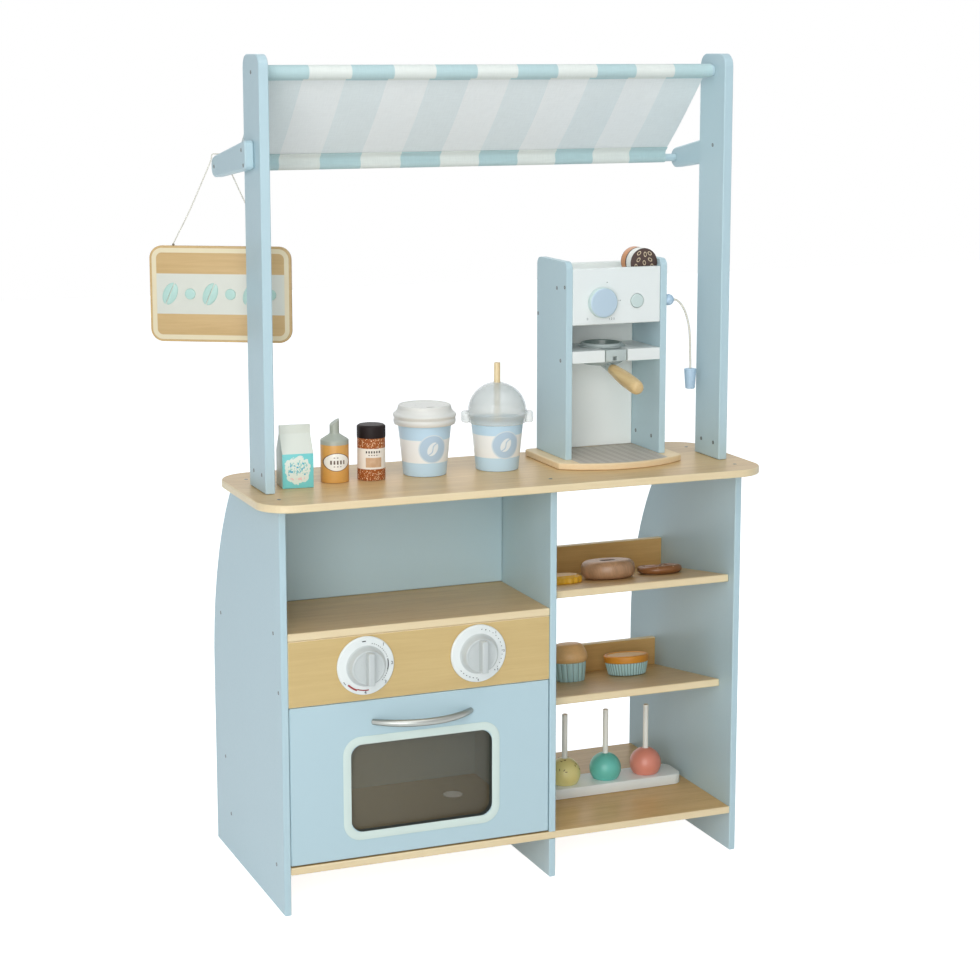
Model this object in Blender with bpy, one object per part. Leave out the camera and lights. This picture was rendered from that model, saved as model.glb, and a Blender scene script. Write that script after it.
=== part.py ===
"""Toy coffee shop: cabinet with oven and tilted shelves, awning, hanging sign, play coffee machine and goods.

Sizes are in metres, +Z is up and -Y is the side where the child plays. Pieces are placed from the cabinet's
left front corner on the floor, and the shop empty moves them all so that the origin is the middle of the base.
"""

import math

import bmesh
import bpy
from mathutils import Vector

CLEAR = 0.0003
SOFT_EDGE = 0.001
ROUND = 30
SMALL_ROUND = 20

# Cabinet of painted side panels and wood-grained boards
WIDTH = 0.640
HEIGHT = 0.523
DEPTH = 0.315
TOP_DEPTH = 0.203
BULGE_START = 0.250
PANEL = 0.009
BOARD = 0.0097
DIVIDER_X = 0.5675 * WIDTH
FLOOR_HEIGHT = 0.0525
FLOOR_DEPTH = 0.3075
VENT_RADIUS = 0.0135
VENT_X = DIVIDER_X - 0.0622
VENT_Y = 0.190
OVEN_SHELF_TOP = 0.3647
OVEN_BACK_Y = 0.261
UPPER_BACK_Y = 0.162
CONTROL_HEIGHT = 0.085
CONTROL_SETBACK = 0.0015

# Countertop
TOP_OVERHANG_SIDE = 0.0265
TOP_OVERHANG_FRONT = 0.0303
TOP_FRONT_RADIUS = 0.043
TOP_BACK_RADIUS = 0.048

# Tilted display shelves with a rail at the customer's side
SHELF_TILT = math.radians(8.5)
UPPER_SHELF = (0.0155, 0.3825, 0.215)
LOWER_SHELF = (0.0363, 0.2320, 0.231)
RAIL_STAND = 0.040

# Oven door
DOOR_GAP = 0.001
DOOR_FOOT_GAP = 0.0017
DOOR_TOP_GAP = 0.0008
PIVOT_RISE = 0.006
PIN_RADIUS = 0.0025
PIN_RUN = 0.0002
PIN_REACH = 0.005
WINDOW_WIDTH = 0.192
WINDOW_HEIGHT = 0.115
WINDOW_RADIUS = 0.016
WINDOW_Z = 0.155
PANE = 0.0025
PANE_LAP = 0.009
HANDLE_SPAN = 0.130
HANDLE_BOW = 0.0265
HANDLE_RADIUS = 0.0045
HANDLE_Z = 0.2407

# Oven knobs
KNOB_SPACING = 0.1525
KNOB_Z = 0.3155
KNOB_RADIUS = 0.038
KNOB_SHAFT = 0.0045
KNOB_RUN = 0.0001
KNOB_RISE = 0.0275

# Awning
POST_THICK = 0.0124
POST_WIDTH = 0.0695
POST_Y = 0.047
POST_HEIGHT = 0.538
POST_OUTSET = 0.0019
POST_CORNER = 0.016
TOP_ROD_RADIUS = 0.0075
TOP_ROD_DROP = 0.022
LOWER_ROD_RADIUS = 0.0052
LOWER_ROD_Y = 0.213
LOWER_ROD_Z = 0.9295
ARM_THICK = 0.0118
ARM_END_RADIUS = 0.0135
ARM_FRONT_HEIGHT = 0.0355
ARM_FRONT_Z = 0.950
ARM_LAP = 0.046
CANOPY_GAP = 0.004
CLOTH = 0.0011
CANOPY_SAG = 0.005

# Hanging sign
SIGN_WIDTH = 0.186
SIGN_HEIGHT = 0.124
SIGN_THICK = 0.006
SIGN_RADIUS = 0.0165
SIGN_TURN = math.radians(29.7)
SIGN_Y = 0.213
SIGN_DROP = 0.115
SIGN_HOLE_SPACING = 0.123
STRING_RADIUS = 0.0008
STRING_HOLE = 0.0013

# Coffee machine, from the middle of its base on the countertop
MACHINE_X = WIDTH - 0.1483
MACHINE_Y = 0.106
BASE_WIDTH = 0.180
BASE_BACK = 0.074
BASE_FRONT = 0.043
BASE_BULGE = 0.031
BASE_THICK = 0.0085
SIDE_GAP = 0.1282
SIDE_DEPTH = 0.0965
SIDE_FRONT = 0.0275
SIDE_HEIGHT = 0.262
SIDE_CORNER = 0.010
BACK_SETBACK = 0.013
FACE_TOP = 0.252
FACE_HEIGHT = 0.074
TRAY_DEPTH = 0.0155
FILTER_TOP = 0.1435
FILTER_THICK = 0.0155
FILTER_Y = 0.020
BASKET_RADIUS = 0.0297
BASKET_DEPTH = 0.024
BASKET_RUN = 0.0006
FILTER_SLOT = 0.0336
HANDLE_TILT = math.radians(11)
GRIP_LENGTH = 0.082
GRIP_RADIUS = 0.0098
DIAL_RADIUS = 0.020
DIAL_THICK = 0.0097
DIAL_X = -0.0225
DIAL_Z = 0.2075
BUTTON_RADIUS = 0.0092
BUTTON_X = 0.0295
BUTTON_RUN = 0.0006
POD_RADIUS = 0.0194
POD_THICK = 0.016
SOCKET_RADIUS = 0.0077
SOCKET_Y = -0.020
CORD_RADIUS = 0.00135
NOZZLE_LENGTH = 0.0275
NOZZLE_TOP_RADIUS = 0.0083
NOZZLE_TIP_RADIUS = 0.0064

# Goods on the countertop, placed by the middle of their base
CARTON = (0.078 * WIDTH, 0.0913)
CARTON_SIDE = 0.040
CARTON_EAVE = 0.044
CARTON_RIDGE = 0.067
CARTON_TOP = 0.078
CARTON_FIN = 0.0035
CARTON_TURN = math.radians(-6)
BOTTLE = (0.1656 * WIDTH, 0.101)
BOTTLE_RADIUS = 0.0182
BOTTLE_SHOULDER = 0.054
BOTTLE_NECK = 0.062
BOTTLE_TOP = 0.0806
SPOUT_RADIUS = 0.0062
JAR = (0.2414 * WIDTH, 0.0984)
JAR_RADIUS = 0.0185
JAR_BODY = 0.0545
JAR_TOP = 0.071
CUP = (0.3603 * WIDTH, 0.1062)
CUP_FOOT = 0.0280
CUP_MOUTH = 0.0358
CUP_HEIGHT = 0.0733
CUP_WALL = 0.0025
CUP_FLOOR = 0.004
LID_RADIUS = 0.0414
LID_CAP = 0.0335
LID_RISE = 0.0178
LID_SKIRT = 0.0076
DOME_CUP = (0.5184 * WIDTH, 0.1049)
DOME_CUP_HEIGHT = 0.067
DOME_RADIUS = 0.0386
DOME_WALL = 0.002
EAR_REACH = 0.0475
EAR_WIDTH = 0.026
EAR_TALL = 0.0143
EAR_CORNER = 0.008
DOME_SKIRT = 0.006
EAR_TURN = math.radians(-20)
STRAW_RADIUS = 0.0042
STRAW_LENGTH = 0.136

# Goods on the shelves, placed from the middle of their bay
SHELF_MIDDLE = (DIVIDER_X + WIDTH) / 2
GOODS_Y = 0.112
DONUT_RADIUS = 0.037
DONUT_HOLE = 0.011
DONUT_HEIGHT = 0.025
DONUT = (SHELF_MIDDLE - 0.0031, GOODS_Y)
PRETZEL_WIDTH = 0.064
PRETZEL_THICK = 0.0115
PRETZEL = (DONUT[0] + DONUT_RADIUS + PRETZEL_WIDTH / 2 + 0.0085, GOODS_Y)
COOKIE_RADIUS = 0.030
COOKIE_THICK = 0.011
COOKIE = (DONUT[0] - DONUT_RADIUS - COOKIE_RADIUS - 0.0065, GOODS_Y)
CUPCAKE = (SHELF_MIDDLE - 0.0331, 0.167)
CUPCAKE_FOOT = 0.0195
CUPCAKE_MOUTH = 0.0225
CUPCAKE_WRAP = 0.026
CUPCAKE_HEIGHT = 0.052
TART = (SHELF_MIDDLE + 0.0544, 0.168)
TART_FOOT = 0.026
TART_MOUTH = 0.0305
TART_CUP = 0.017
TART_HEIGHT = 0.0275
TRAY_LENGTH = 0.216
TRAY_WIDTH = 0.052
TRAY_THICK = 0.0145
TRAY_CORNER = 0.014
TRAY = (SHELF_MIDDLE + 0.0065, 0.137)
POP_SPACING = 0.062
POP_RADIUS = 0.022
POP_FLAT = 0.0138
POP_HEIGHT = 0.098
STICK_RADIUS = 0.0038

# Places worked out from the sizes
COUNTER_UNDER = HEIGHT + CLEAR
COUNTER_TOP = COUNTER_UNDER + BOARD
ON_COUNTER = COUNTER_TOP + CLEAR
FLOOR_TOP = FLOOR_HEIGHT + BOARD
BAY_LEFT = PANEL + CLEAR
BAY_RIGHT = DIVIDER_X - CLEAR
OVEN_MIDDLE = (PANEL + DIVIDER_X) / 2
CONTROL_TOP = OVEN_SHELF_TOP - BOARD - CLEAR
CONTROL_FOOT = CONTROL_TOP - CONTROL_HEIGHT
DOOR_FOOT = FLOOR_TOP + DOOR_FOOT_GAP
DOOR_TOP = CONTROL_FOOT - DOOR_TOP_GAP
PIVOT_Z = DOOR_FOOT + PIVOT_RISE
PIVOT_Y = CONTROL_SETBACK + PANEL / 2
POST_TOP = ON_COUNTER + POST_HEIGHT
LEFT_POST_X = -POST_OUTSET
RIGHT_POST_X = WIDTH + POST_OUTSET - POST_THICK
TOP_ROD_Y = POST_Y + POST_WIDTH / 2
TOP_ROD_Z = POST_TOP - TOP_ROD_DROP
LEFT_ARM_X = LEFT_POST_X - CLEAR - ARM_THICK
RIGHT_ARM_X = RIGHT_POST_X + POST_THICK + CLEAR
ARM_FRONT_Y = POST_Y + POST_WIDTH - ARM_LAP
SIGN_X = LEFT_ARM_X + ARM_THICK / 2
SIGN_REACH_X = SIGN_WIDTH / 2 * math.cos(SIGN_TURN) + SIGN_THICK / 2 * math.sin(SIGN_TURN)
SHOP_MIDDLE_X = (SIGN_X - SIGN_REACH_X + WIDTH + TOP_OVERHANG_SIDE) / 2
SHOP_MIDDLE_Y = (DEPTH - TOP_OVERHANG_FRONT) / 2

PAINTS = {
    "blue_paint": ((0.50, 0.66, 0.74), 0.45, 0.0),
    "white_paint": ((0.80, 0.82, 0.79), 0.40, 0.0),
    "wood_grain": ((0.62, 0.45, 0.27), 0.50, 0.0),
    "beech": ((0.72, 0.50, 0.27), 0.55, 0.0),
    "striped_cloth": ((0.70, 0.78, 0.80), 0.85, 0.0),
    "metal": ((0.72, 0.72, 0.70), 0.28, 1.0),
    "smoked_pane": ((0.05, 0.05, 0.04), 0.10, 0.0),
    "grey_paint": ((0.42, 0.46, 0.44), 0.45, 0.0),
    "string": ((0.80, 0.76, 0.66), 0.80, 0.0),
    "carton_paint": ((0.36, 0.72, 0.69), 0.40, 0.0),
    "amber_paint": ((0.66, 0.36, 0.09), 0.40, 0.0),
    "spice_paint": ((0.50, 0.22, 0.07), 0.45, 0.0),
    "cup_paint": ((0.62, 0.74, 0.82), 0.40, 0.0),
    "lid_white": ((0.84, 0.84, 0.82), 0.35, 0.0),
    "clear_dome": ((0.80, 0.84, 0.84), 0.10, 0.0),
    "dough": ((0.45, 0.26, 0.15), 0.60, 0.0),
    "icing": ((0.80, 0.50, 0.10), 0.45, 0.0),
    "wrapper": ((0.28, 0.45, 0.46), 0.50, 0.0),
    "coral": ((0.68, 0.22, 0.16), 0.40, 0.0),
    "teal": ((0.13, 0.52, 0.42), 0.40, 0.0),
    "olive": ((0.50, 0.46, 0.18), 0.40, 0.0),
    "coffee_brown": ((0.07, 0.03, 0.02), 0.45, 0.0),
}


def clear_scene():
    for obj in list(bpy.data.objects):
        bpy.data.objects.remove(obj)


def make_paints():
    for name, (colour, roughness, metallic) in PAINTS.items():
        paint = bpy.data.materials.get(name) or bpy.data.materials.new(name)
        paint.use_nodes = True
        shader = paint.node_tree.nodes["Principled BSDF"]
        shader.inputs["Base Color"].default_value = (*colour, 1.0)
        shader.inputs["Roughness"].default_value = roughness
        shader.inputs["Metallic"].default_value = metallic


def empty(name, location, parent=None, rotation=(0, 0, 0)):
    obj = bpy.data.objects.new(name, None)
    obj.location = location
    obj.rotation_euler = rotation
    obj.parent = parent
    bpy.context.scene.collection.objects.link(obj)
    return obj


def link_mesh(name, bm, paint, parent, location, rotation):
    bmesh.ops.recalc_face_normals(bm, faces=bm.faces)
    mesh = bpy.data.meshes.new(name)
    bm.to_mesh(mesh)
    bm.free()
    if paint:
        mesh.materials.append(bpy.data.materials[paint])
    mesh.shade_smooth()
    mesh.set_sharp_from_angle(angle=math.radians(35))
    obj = bpy.data.objects.new(name, mesh)
    obj.parent = parent
    obj.location = location
    obj.rotation_euler = rotation
    bpy.context.scene.collection.objects.link(obj)
    return obj


def piece(name, bm, paint, parent, location=(0, 0, 0), rotation=(0, 0, 0), soft=0.0, steps=1):
    """A named sub-part, with its outer edges softened by a Bevel where soft is set."""
    obj = link_mesh(name, bm, paint, parent, location, rotation)
    if soft:
        bevel = obj.modifiers.new("soft_edges", "BEVEL")
        bevel.width = soft
        bevel.segments = steps
        bevel.limit_method = "ANGLE"
        bevel.angle_limit = math.radians(40)
    return obj


def tool(obj, bm, operation, location=(0, 0, 0), rotation=(0, 0, 0)):
    """Cuts a hidden shape from a piece, or joins it on. The shape shares the piece's parent."""
    guide = link_mesh(obj.name + "_tool", bm, None, obj.parent, location, rotation)
    guide.hide_render = True
    guide.display_type = "WIRE"
    boolean = obj.modifiers.new(operation.lower(), "BOOLEAN")
    boolean.operation = operation
    boolean.object = guide


def box(low, high):
    bm = bmesh.new()
    bmesh.ops.create_cube(bm, size=1.0)
    low, high = Vector(low), Vector(high)
    bmesh.ops.scale(bm, vec=high - low, verts=bm.verts)
    bmesh.ops.translate(bm, vec=(low + high) / 2, verts=bm.verts)
    return bm


def prism(outline, depth, axis):
    """A closed prism on an outline that lies across the axis, from 0 to depth along it."""
    turn = {"X": lambda a, b, c: (c, a, b), "Y": lambda a, b, c: (a, c, b), "Z": lambda a, b, c: (a, b, c)}[axis]
    bm = bmesh.new()
    face = bm.faces.new([bm.verts.new(turn(a, b, 0.0)) for a, b in outline])
    grown = bmesh.ops.extrude_face_region(bm, geom=[face])["geom"]
    moved = [item for item in grown if isinstance(item, bmesh.types.BMVert)]
    bmesh.ops.translate(bm, vec=turn(0.0, 0.0, depth), verts=moved)
    return bm


def turned(profile, segments=ROUND):
    """A body turned about Z from a profile of (radius, height) that starts and ends on the axis."""
    bm = bmesh.new()
    verts = [bm.verts.new((radius, 0.0, height)) for radius, height in profile]
    edges = [bm.edges.new(pair) for pair in zip(verts, verts[1:])]
    bmesh.ops.spin(bm, geom=verts + edges, axis=(0, 0, 1), cent=(0, 0, 0), angle=math.tau, steps=segments,
                   use_merge=True)
    bmesh.ops.remove_doubles(bm, verts=bm.verts, dist=1e-6)
    return bm


def tube(radius, depth, segments=SMALL_ROUND):
    return turned([(0, 0), (radius, 0), (radius, depth), (0, depth)], segments)


def arc(centre, radius, start, end, steps):
    """Points along an arc, with angles in degrees."""
    angles = [math.radians(start + (end - start) * i / steps) for i in range(steps + 1)]
    return [(centre[0] + radius * math.cos(a), centre[1] + radius * math.sin(a)) for a in angles]


def rounded(low, high, radii, steps=6):
    """A rectangle with a rounded corner at low-low, high-low, high-high and low-high."""
    (a0, b0), (a1, b1) = low, high
    r0, r1, r2, r3 = radii
    return (arc((a0 + r0, b0 + r0), r0, 180, 270, steps) + arc((a1 - r1, b0 + r1), r1, 270, 360, steps)
            + arc((a1 - r2, b1 - r2), r2, 0, 90, steps) + arc((a0 + r3, b1 - r3), r3, 90, 180, steps))


def board(name, low, high, paint, parent, soft=SOFT_EDGE):
    middle = (Vector(low) + Vector(high)) / 2
    return piece(name, box(Vector(low) - middle, Vector(high) - middle), paint, parent, middle, soft=soft)


def smooth_route(points, per_span):
    """Points read from a smooth curve through the route's own points."""
    ends = [2 * points[0] - points[1]] + points + [2 * points[-1] - points[-2]]
    route = []
    for a, b, c, d in zip(ends, ends[1:], ends[2:], ends[3:]):
        for i in range(per_span):
            t = i / per_span
            route.append(0.5 * (2 * b + (c - a) * t + (2 * a - 5 * b + 4 * c - d) * t * t
                                + (3 * b - a - 3 * c + d) * t ** 3))
    return route + [points[-1]]


def cord(name, route, radius, paint, parent):
    """A round tube along the route, with filled caps."""
    curve = bpy.data.curves.new(name, "CURVE")
    curve.dimensions = "3D"
    curve.bevel_depth = radius
    curve.bevel_resolution = 2
    curve.use_fill_caps = True
    spline = curve.splines.new("POLY")
    spline.points.add(len(route) - 1)
    for point, place in zip(spline.points, route):
        point.co = (*place, 1.0)
    curve.materials.append(bpy.data.materials[paint])
    obj = bpy.data.objects.new(name, curve)
    obj.parent = parent
    bpy.context.scene.collection.objects.link(obj)
    return obj


def swept(route, radius, segments):
    """A round bar that follows a route in a level plane."""
    bm = bmesh.new()
    rings = []
    for before, place, after in zip(route[:1] + route, route, route[1:] + route[-1:]):
        side = (after - before).normalized().cross(Vector((0, 0, 1)))
        turns = [math.tau * i / segments for i in range(segments)]
        rings.append([bm.verts.new(place + radius * (side * math.cos(a) + Vector((0, 0, math.sin(a)))))
                      for a in turns])
    for ring, following in zip(rings, rings[1:]):
        for i in range(segments):
            j = (i + 1) % segments
            bm.faces.new((ring[i], ring[j], following[j], following[i]))
    bm.faces.new(rings[0])
    bm.faces.new(rings[-1])
    return bm


def panel_outline():
    """Side view of a cabinet panel: straight at the front, swelling in an arc at the back."""
    inset = DEPTH - TOP_DEPTH
    rise = HEIGHT - BULGE_START
    radius = (inset ** 2 + rise ** 2) / (2 * inset)
    sweep = math.degrees(math.asin(rise / radius))
    swell = arc((DEPTH - radius, BULGE_START), radius, 0, sweep, 14)
    return [(0.0, 0.0), (DEPTH, 0.0)] + swell + [(0.0, HEIGHT)]


def pin_hole(panel, start_x):
    """A blind hole for one of the door's pins, opening towards the oven."""
    hole = tube(PIN_RADIUS + PIN_RUN, PIN_REACH + CLEAR + DOOR_GAP)
    tool(panel, hole, "DIFFERENCE", (start_x, PIVOT_Y, PIVOT_Z), (0, math.pi / 2, 0))


def make_cabinet(shop):
    left = piece("left_side_panel", prism(panel_outline(), PANEL, "X"), "blue_paint", shop, soft=SOFT_EDGE)
    pin_hole(left, PANEL - PIN_REACH - CLEAR)
    piece("right_side_panel", prism(panel_outline(), PANEL, "X"), "blue_paint", shop,
          (WIDTH - PANEL, 0, 0), soft=SOFT_EDGE)
    divider = piece("centre_divider", prism(panel_outline(), PANEL, "X"), "blue_paint", shop,
                    (DIVIDER_X, 0, 0), soft=SOFT_EDGE)
    lap = DEPTH / 2
    tool(divider, box((-PANEL, -PANEL, FLOOR_HEIGHT - CLEAR), (2 * PANEL, lap, FLOOR_TOP + CLEAR)),
         "DIFFERENCE", (DIVIDER_X, 0, 0))
    pin_hole(divider, DIVIDER_X - DOOR_GAP)

    floor = board("bottom_board", (PANEL + CLEAR, 0, FLOOR_HEIGHT),
                  (WIDTH - PANEL - CLEAR, FLOOR_DEPTH, FLOOR_TOP), "wood_grain", shop)
    notch = box((DIVIDER_X - CLEAR, lap - CLEAR, 0), (DIVIDER_X + PANEL + CLEAR, DEPTH + BOARD, 2 * FLOOR_TOP))
    tool(floor, notch, "DIFFERENCE")
    tool(floor, tube(VENT_RADIUS, 3 * BOARD, 24), "DIFFERENCE", (VENT_X, VENT_Y, FLOOR_HEIGHT - BOARD))

    board("oven_shelf", (BAY_LEFT, SOFT_EDGE, OVEN_SHELF_TOP - BOARD),
          (BAY_RIGHT, OVEN_BACK_Y + PANEL, OVEN_SHELF_TOP), "wood_grain", shop)
    board("oven_back_panel", (BAY_LEFT, OVEN_BACK_Y, FLOOR_TOP + CLEAR),
          (BAY_RIGHT, OVEN_BACK_Y + PANEL, CONTROL_TOP), "blue_paint", shop)
    board("upper_back_panel", (BAY_LEFT, UPPER_BACK_Y, OVEN_SHELF_TOP + CLEAR),
          (BAY_RIGHT, UPPER_BACK_Y + PANEL, HEIGHT), "blue_paint", shop)
    control = board("control_panel", (BAY_LEFT, CONTROL_SETBACK, CONTROL_FOOT),
                    (BAY_RIGHT, CONTROL_SETBACK + PANEL, CONTROL_TOP), "wood_grain", shop)
    for side in (-1, 1):
        tool(control, tube(KNOB_SHAFT + KNOB_RUN, 3 * PANEL), "DIFFERENCE",
             (OVEN_MIDDLE + side * KNOB_SPACING / 2, CONTROL_SETBACK + 2 * PANEL, KNOB_Z), (math.pi / 2, 0, 0))

    outline = rounded((-TOP_OVERHANG_SIDE, -TOP_OVERHANG_FRONT), (WIDTH + TOP_OVERHANG_SIDE, TOP_DEPTH),
                      (TOP_FRONT_RADIUS, TOP_FRONT_RADIUS, TOP_BACK_RADIUS, TOP_BACK_RADIUS), 12)
    piece("countertop", prism(outline, BOARD, "Z"), "wood_grain", shop, (0, 0, COUNTER_UNDER),
          soft=SOFT_EDGE)


def shelf_outline(front, top, back):
    """Side view of a tilted shelf, from its front top edge down to the rail."""
    length = (back - CLEAR - front) / math.cos(SHELF_TILT)
    along = Vector((math.cos(SHELF_TILT), -math.sin(SHELF_TILT))) * length
    down = Vector((-math.sin(SHELF_TILT), -math.cos(SHELF_TILT))) * BOARD
    corner = Vector((front, top))
    return [corner, corner + down, corner + down + along, corner + along]


def shelf_height(shelf, y):
    """Height of a tilted shelf's top surface at a depth."""
    front, top, _ = shelf
    return top - (y - front) * math.tan(SHELF_TILT)


def make_display(shop):
    left = DIVIDER_X + PANEL + CLEAR
    right = WIDTH - PANEL - CLEAR
    for name, shelf in (("upper", UPPER_SHELF), ("lower", LOWER_SHELF)):
        piece(name + "_display_shelf", prism(shelf_outline(*shelf), right - left, "X"), "wood_grain", shop,
              (left, 0, 0), soft=SOFT_EDGE)
        back = shelf[2]
        seat = shelf_height(shelf, back)
        board(name + "_shelf_rail", (left, back, seat - BOARD / math.cos(SHELF_TILT) - SOFT_EDGE),
              (right, back + PANEL, seat + RAIL_STAND), "wood_grain", shop)


def make_door(shop):
    """The door turns on two pins near its foot. Its parts are placed from the pins' axis."""
    pivot = empty("door_pivot", (OVEN_MIDDLE, PIVOT_Y, PIVOT_Z), shop)
    half = (DIVIDER_X - PANEL) / 2 - DOOR_GAP
    face = -PANEL / 2
    door = piece("oven_door", box((-half, face, -PIVOT_RISE), (half, -face, DOOR_TOP - PIVOT_Z)), "blue_paint",
                 pivot, soft=SOFT_EDGE)
    window = WINDOW_Z - PIVOT_Z
    low = (-WINDOW_WIDTH / 2, window - WINDOW_HEIGHT / 2)
    high = (WINDOW_WIDTH / 2, window + WINDOW_HEIGHT / 2)
    tool(door, prism(rounded(low, high, [WINDOW_RADIUS] * 4), 3 * PANEL, "Y"), "DIFFERENCE", (0, 3 * face, 0))
    pins = tube(PIN_RADIUS, 2 * (half + DOOR_GAP + PIN_REACH), 16)
    tool(door, pins, "UNION", (-half - DOOR_GAP - PIN_REACH, 0, 0), (0, math.pi / 2, 0))

    lap = Vector((PANE_LAP, PANE_LAP))
    pane = rounded(Vector(low) - lap, Vector(high) + lap, [WINDOW_RADIUS] * 4)
    piece("window_pane", prism(pane, PANE, "Y"), "smoked_pane", pivot, (0, -face + CLEAR, 0))

    bow_radius = (HANDLE_SPAN ** 2 / 4 + HANDLE_BOW ** 2) / (2 * HANDLE_BOW)
    reach = math.degrees(math.asin(HANDLE_SPAN / 2 / bow_radius)) + 3
    bow = arc((0, face + bow_radius - HANDLE_BOW), bow_radius, 270 - reach, 270 + reach, 16)
    height = HANDLE_Z - PIVOT_Z
    bar = swept([Vector((x, y, height)) for x, y in bow], HANDLE_RADIUS, 10)
    handle = piece("door_handle", bar, "metal", pivot)
    behind = box((-HANDLE_SPAN, face - CLEAR, height - PANEL), (HANDLE_SPAN, 3 * PANEL, height + PANEL))
    tool(handle, behind, "DIFFERENCE")


def make_knobs(shop):
    """Each knob is one piece with its skirt, grip bar and shaft, and turns in the control panel."""
    tall = KNOB_RISE
    profile = [(0, -PANEL - 0.004), (KNOB_SHAFT, -PANEL - 0.004), (KNOB_SHAFT, CLEAR), (KNOB_RADIUS, CLEAR),
               (KNOB_RADIUS, 0.0028), (KNOB_RADIUS - 0.0015, 0.0040), (0.0262, 0.0046), (0.0246, 0.0062),
               (0.0222, 0.0150), (0.0206, 0.0163), (0.0185, 0.0155), (0, 0.0155)]
    for name, side in (("left_oven_knob", -1), ("right_oven_knob", 1)):
        place = (OVEN_MIDDLE + side * KNOB_SPACING / 2, CONTROL_SETBACK, KNOB_Z)
        axis = empty(name + "_axis", place, shop)
        knob = piece(name, turned(profile), "white_paint", axis, rotation=(math.pi / 2, 0, 0))
        bar = prism(rounded((-0.0043, -0.0205), (0.0043, 0.0205), [0.0015] * 4, 2), tall - 0.012, "Z")
        tool(knob, bar, "UNION", (0, -0.012, 0), (math.pi / 2, 0, 0))


def arm_outline():
    """Side view of an awning arm: a tapering bar with a round end about the lower rod."""
    low = ARM_FRONT_Z - ARM_FRONT_HEIGHT / 2
    high = ARM_FRONT_Z + ARM_FRONT_HEIGHT / 2
    corner = 0.006
    front = (arc((ARM_FRONT_Y + corner, high - corner), corner, 90, 180, 3)
             + arc((ARM_FRONT_Y + corner, low + corner), corner, 180, 270, 3))
    return front + arc((LOWER_ROD_Y, LOWER_ROD_Z), ARM_END_RADIUS, -100, 80, 10)


def make_awning(shop):
    corner = POST_CORNER
    post = rounded((POST_Y, ON_COUNTER), (POST_Y + POST_WIDTH, POST_TOP), (0.001, 0.001, corner, corner), 5)
    for name, x in (("left_post", LEFT_POST_X), ("right_post", RIGHT_POST_X)):
        piece(name, prism(post, POST_THICK, "X"), "blue_paint", shop, (x, 0, 0), soft=0.0018)
    for name, x in (("left_arm", LEFT_ARM_X), ("right_arm", RIGHT_ARM_X)):
        piece(name, prism(arm_outline(), ARM_THICK, "X"), "blue_paint", shop, (x, 0, 0), soft=0.0018)

    inner_left = LEFT_POST_X + POST_THICK + CLEAR
    inner_right = RIGHT_POST_X - CLEAR
    along_x = (0, math.pi / 2, 0)
    piece("awning_top_rod", tube(TOP_ROD_RADIUS, inner_right - inner_left, 24), "blue_paint", shop,
          (inner_left, TOP_ROD_Y, TOP_ROD_Z), along_x)
    rod_left = LEFT_ARM_X + ARM_THICK + CLEAR
    piece("awning_lower_rod", tube(LOWER_ROD_RADIUS, RIGHT_ARM_X - CLEAR - rod_left, 20), "blue_paint", shop,
          (rod_left, LOWER_ROD_Y, LOWER_ROD_Z), along_x)
    make_canopy(shop, inner_left + CANOPY_GAP, inner_right - CANOPY_GAP)


def cloth_loop(radius, sheet):
    """Half of the canopy's side view: a hem, then the loop round a rod, as (distance from the rod, height)."""
    lap = CLOTH + 2 * CLEAR
    hem = [(radius + reach, sheet(radius + reach) - lap - dip)
           for reach, dip in ((0.0120, 0.0), (0.0050, 0.0), (0.0018, 0.0016))]
    return hem + arc((0, 0), radius, 350, 84, 11)


def make_canopy(shop, left, right):
    """One cloth, hemmed into a loop round each rod and sagging a little between them."""
    top = Vector((TOP_ROD_Y, TOP_ROD_Z))
    low = Vector((LOWER_ROD_Y, LOWER_ROD_Z))
    length = (low - top).length
    fall = (low - top) / length
    out = Vector((-fall.y, fall.x))
    top_loop = TOP_ROD_RADIUS + CLEAR + CLOTH / 2
    low_loop = LOWER_ROD_RADIUS + CLEAR + CLOTH / 2

    def sheet(along):
        t = along / length
        return top_loop + (low_loop - top_loop) * t - CANOPY_SAG * 4 * t * (1 - t)

    middle = [(length * t / 12, sheet(length * t / 12)) for t in range(1, 12)]
    end = [(length - along, height) for along, height in cloth_loop(low_loop, lambda back: sheet(length - back))]
    stations = [Vector(pair) for pair in cloth_loop(top_loop, sheet) + middle + end[::-1]]
    route = smooth_route(stations, 2)
    upper, lower = [], []
    for before, place, after in zip(route[:1] + route, route, route[1:] + route[-1:]):
        along = (after - before).normalized()
        side = Vector((-along.y, along.x)) * CLOTH / 2
        for edge, point in ((upper, place + side), (lower, place - side)):
            edge.append(top + fall * point.x + out * point.y)
    piece("awning_canopy", prism(upper + lower[::-1], right - left, "X"), "striped_cloth", shop, (left, 0, 0))


def arm_top(y):
    """Height of the arm's sloping top edge at a depth."""
    high = ARM_FRONT_Z + ARM_FRONT_HEIGHT / 2
    end_angle = math.radians(80)
    end_y = LOWER_ROD_Y + ARM_END_RADIUS * math.cos(end_angle)
    end_z = LOWER_ROD_Z + ARM_END_RADIUS * math.sin(end_angle)
    start = ARM_FRONT_Y + 0.006
    return high + (end_z - high) * (y - start) / (end_y - start)


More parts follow.
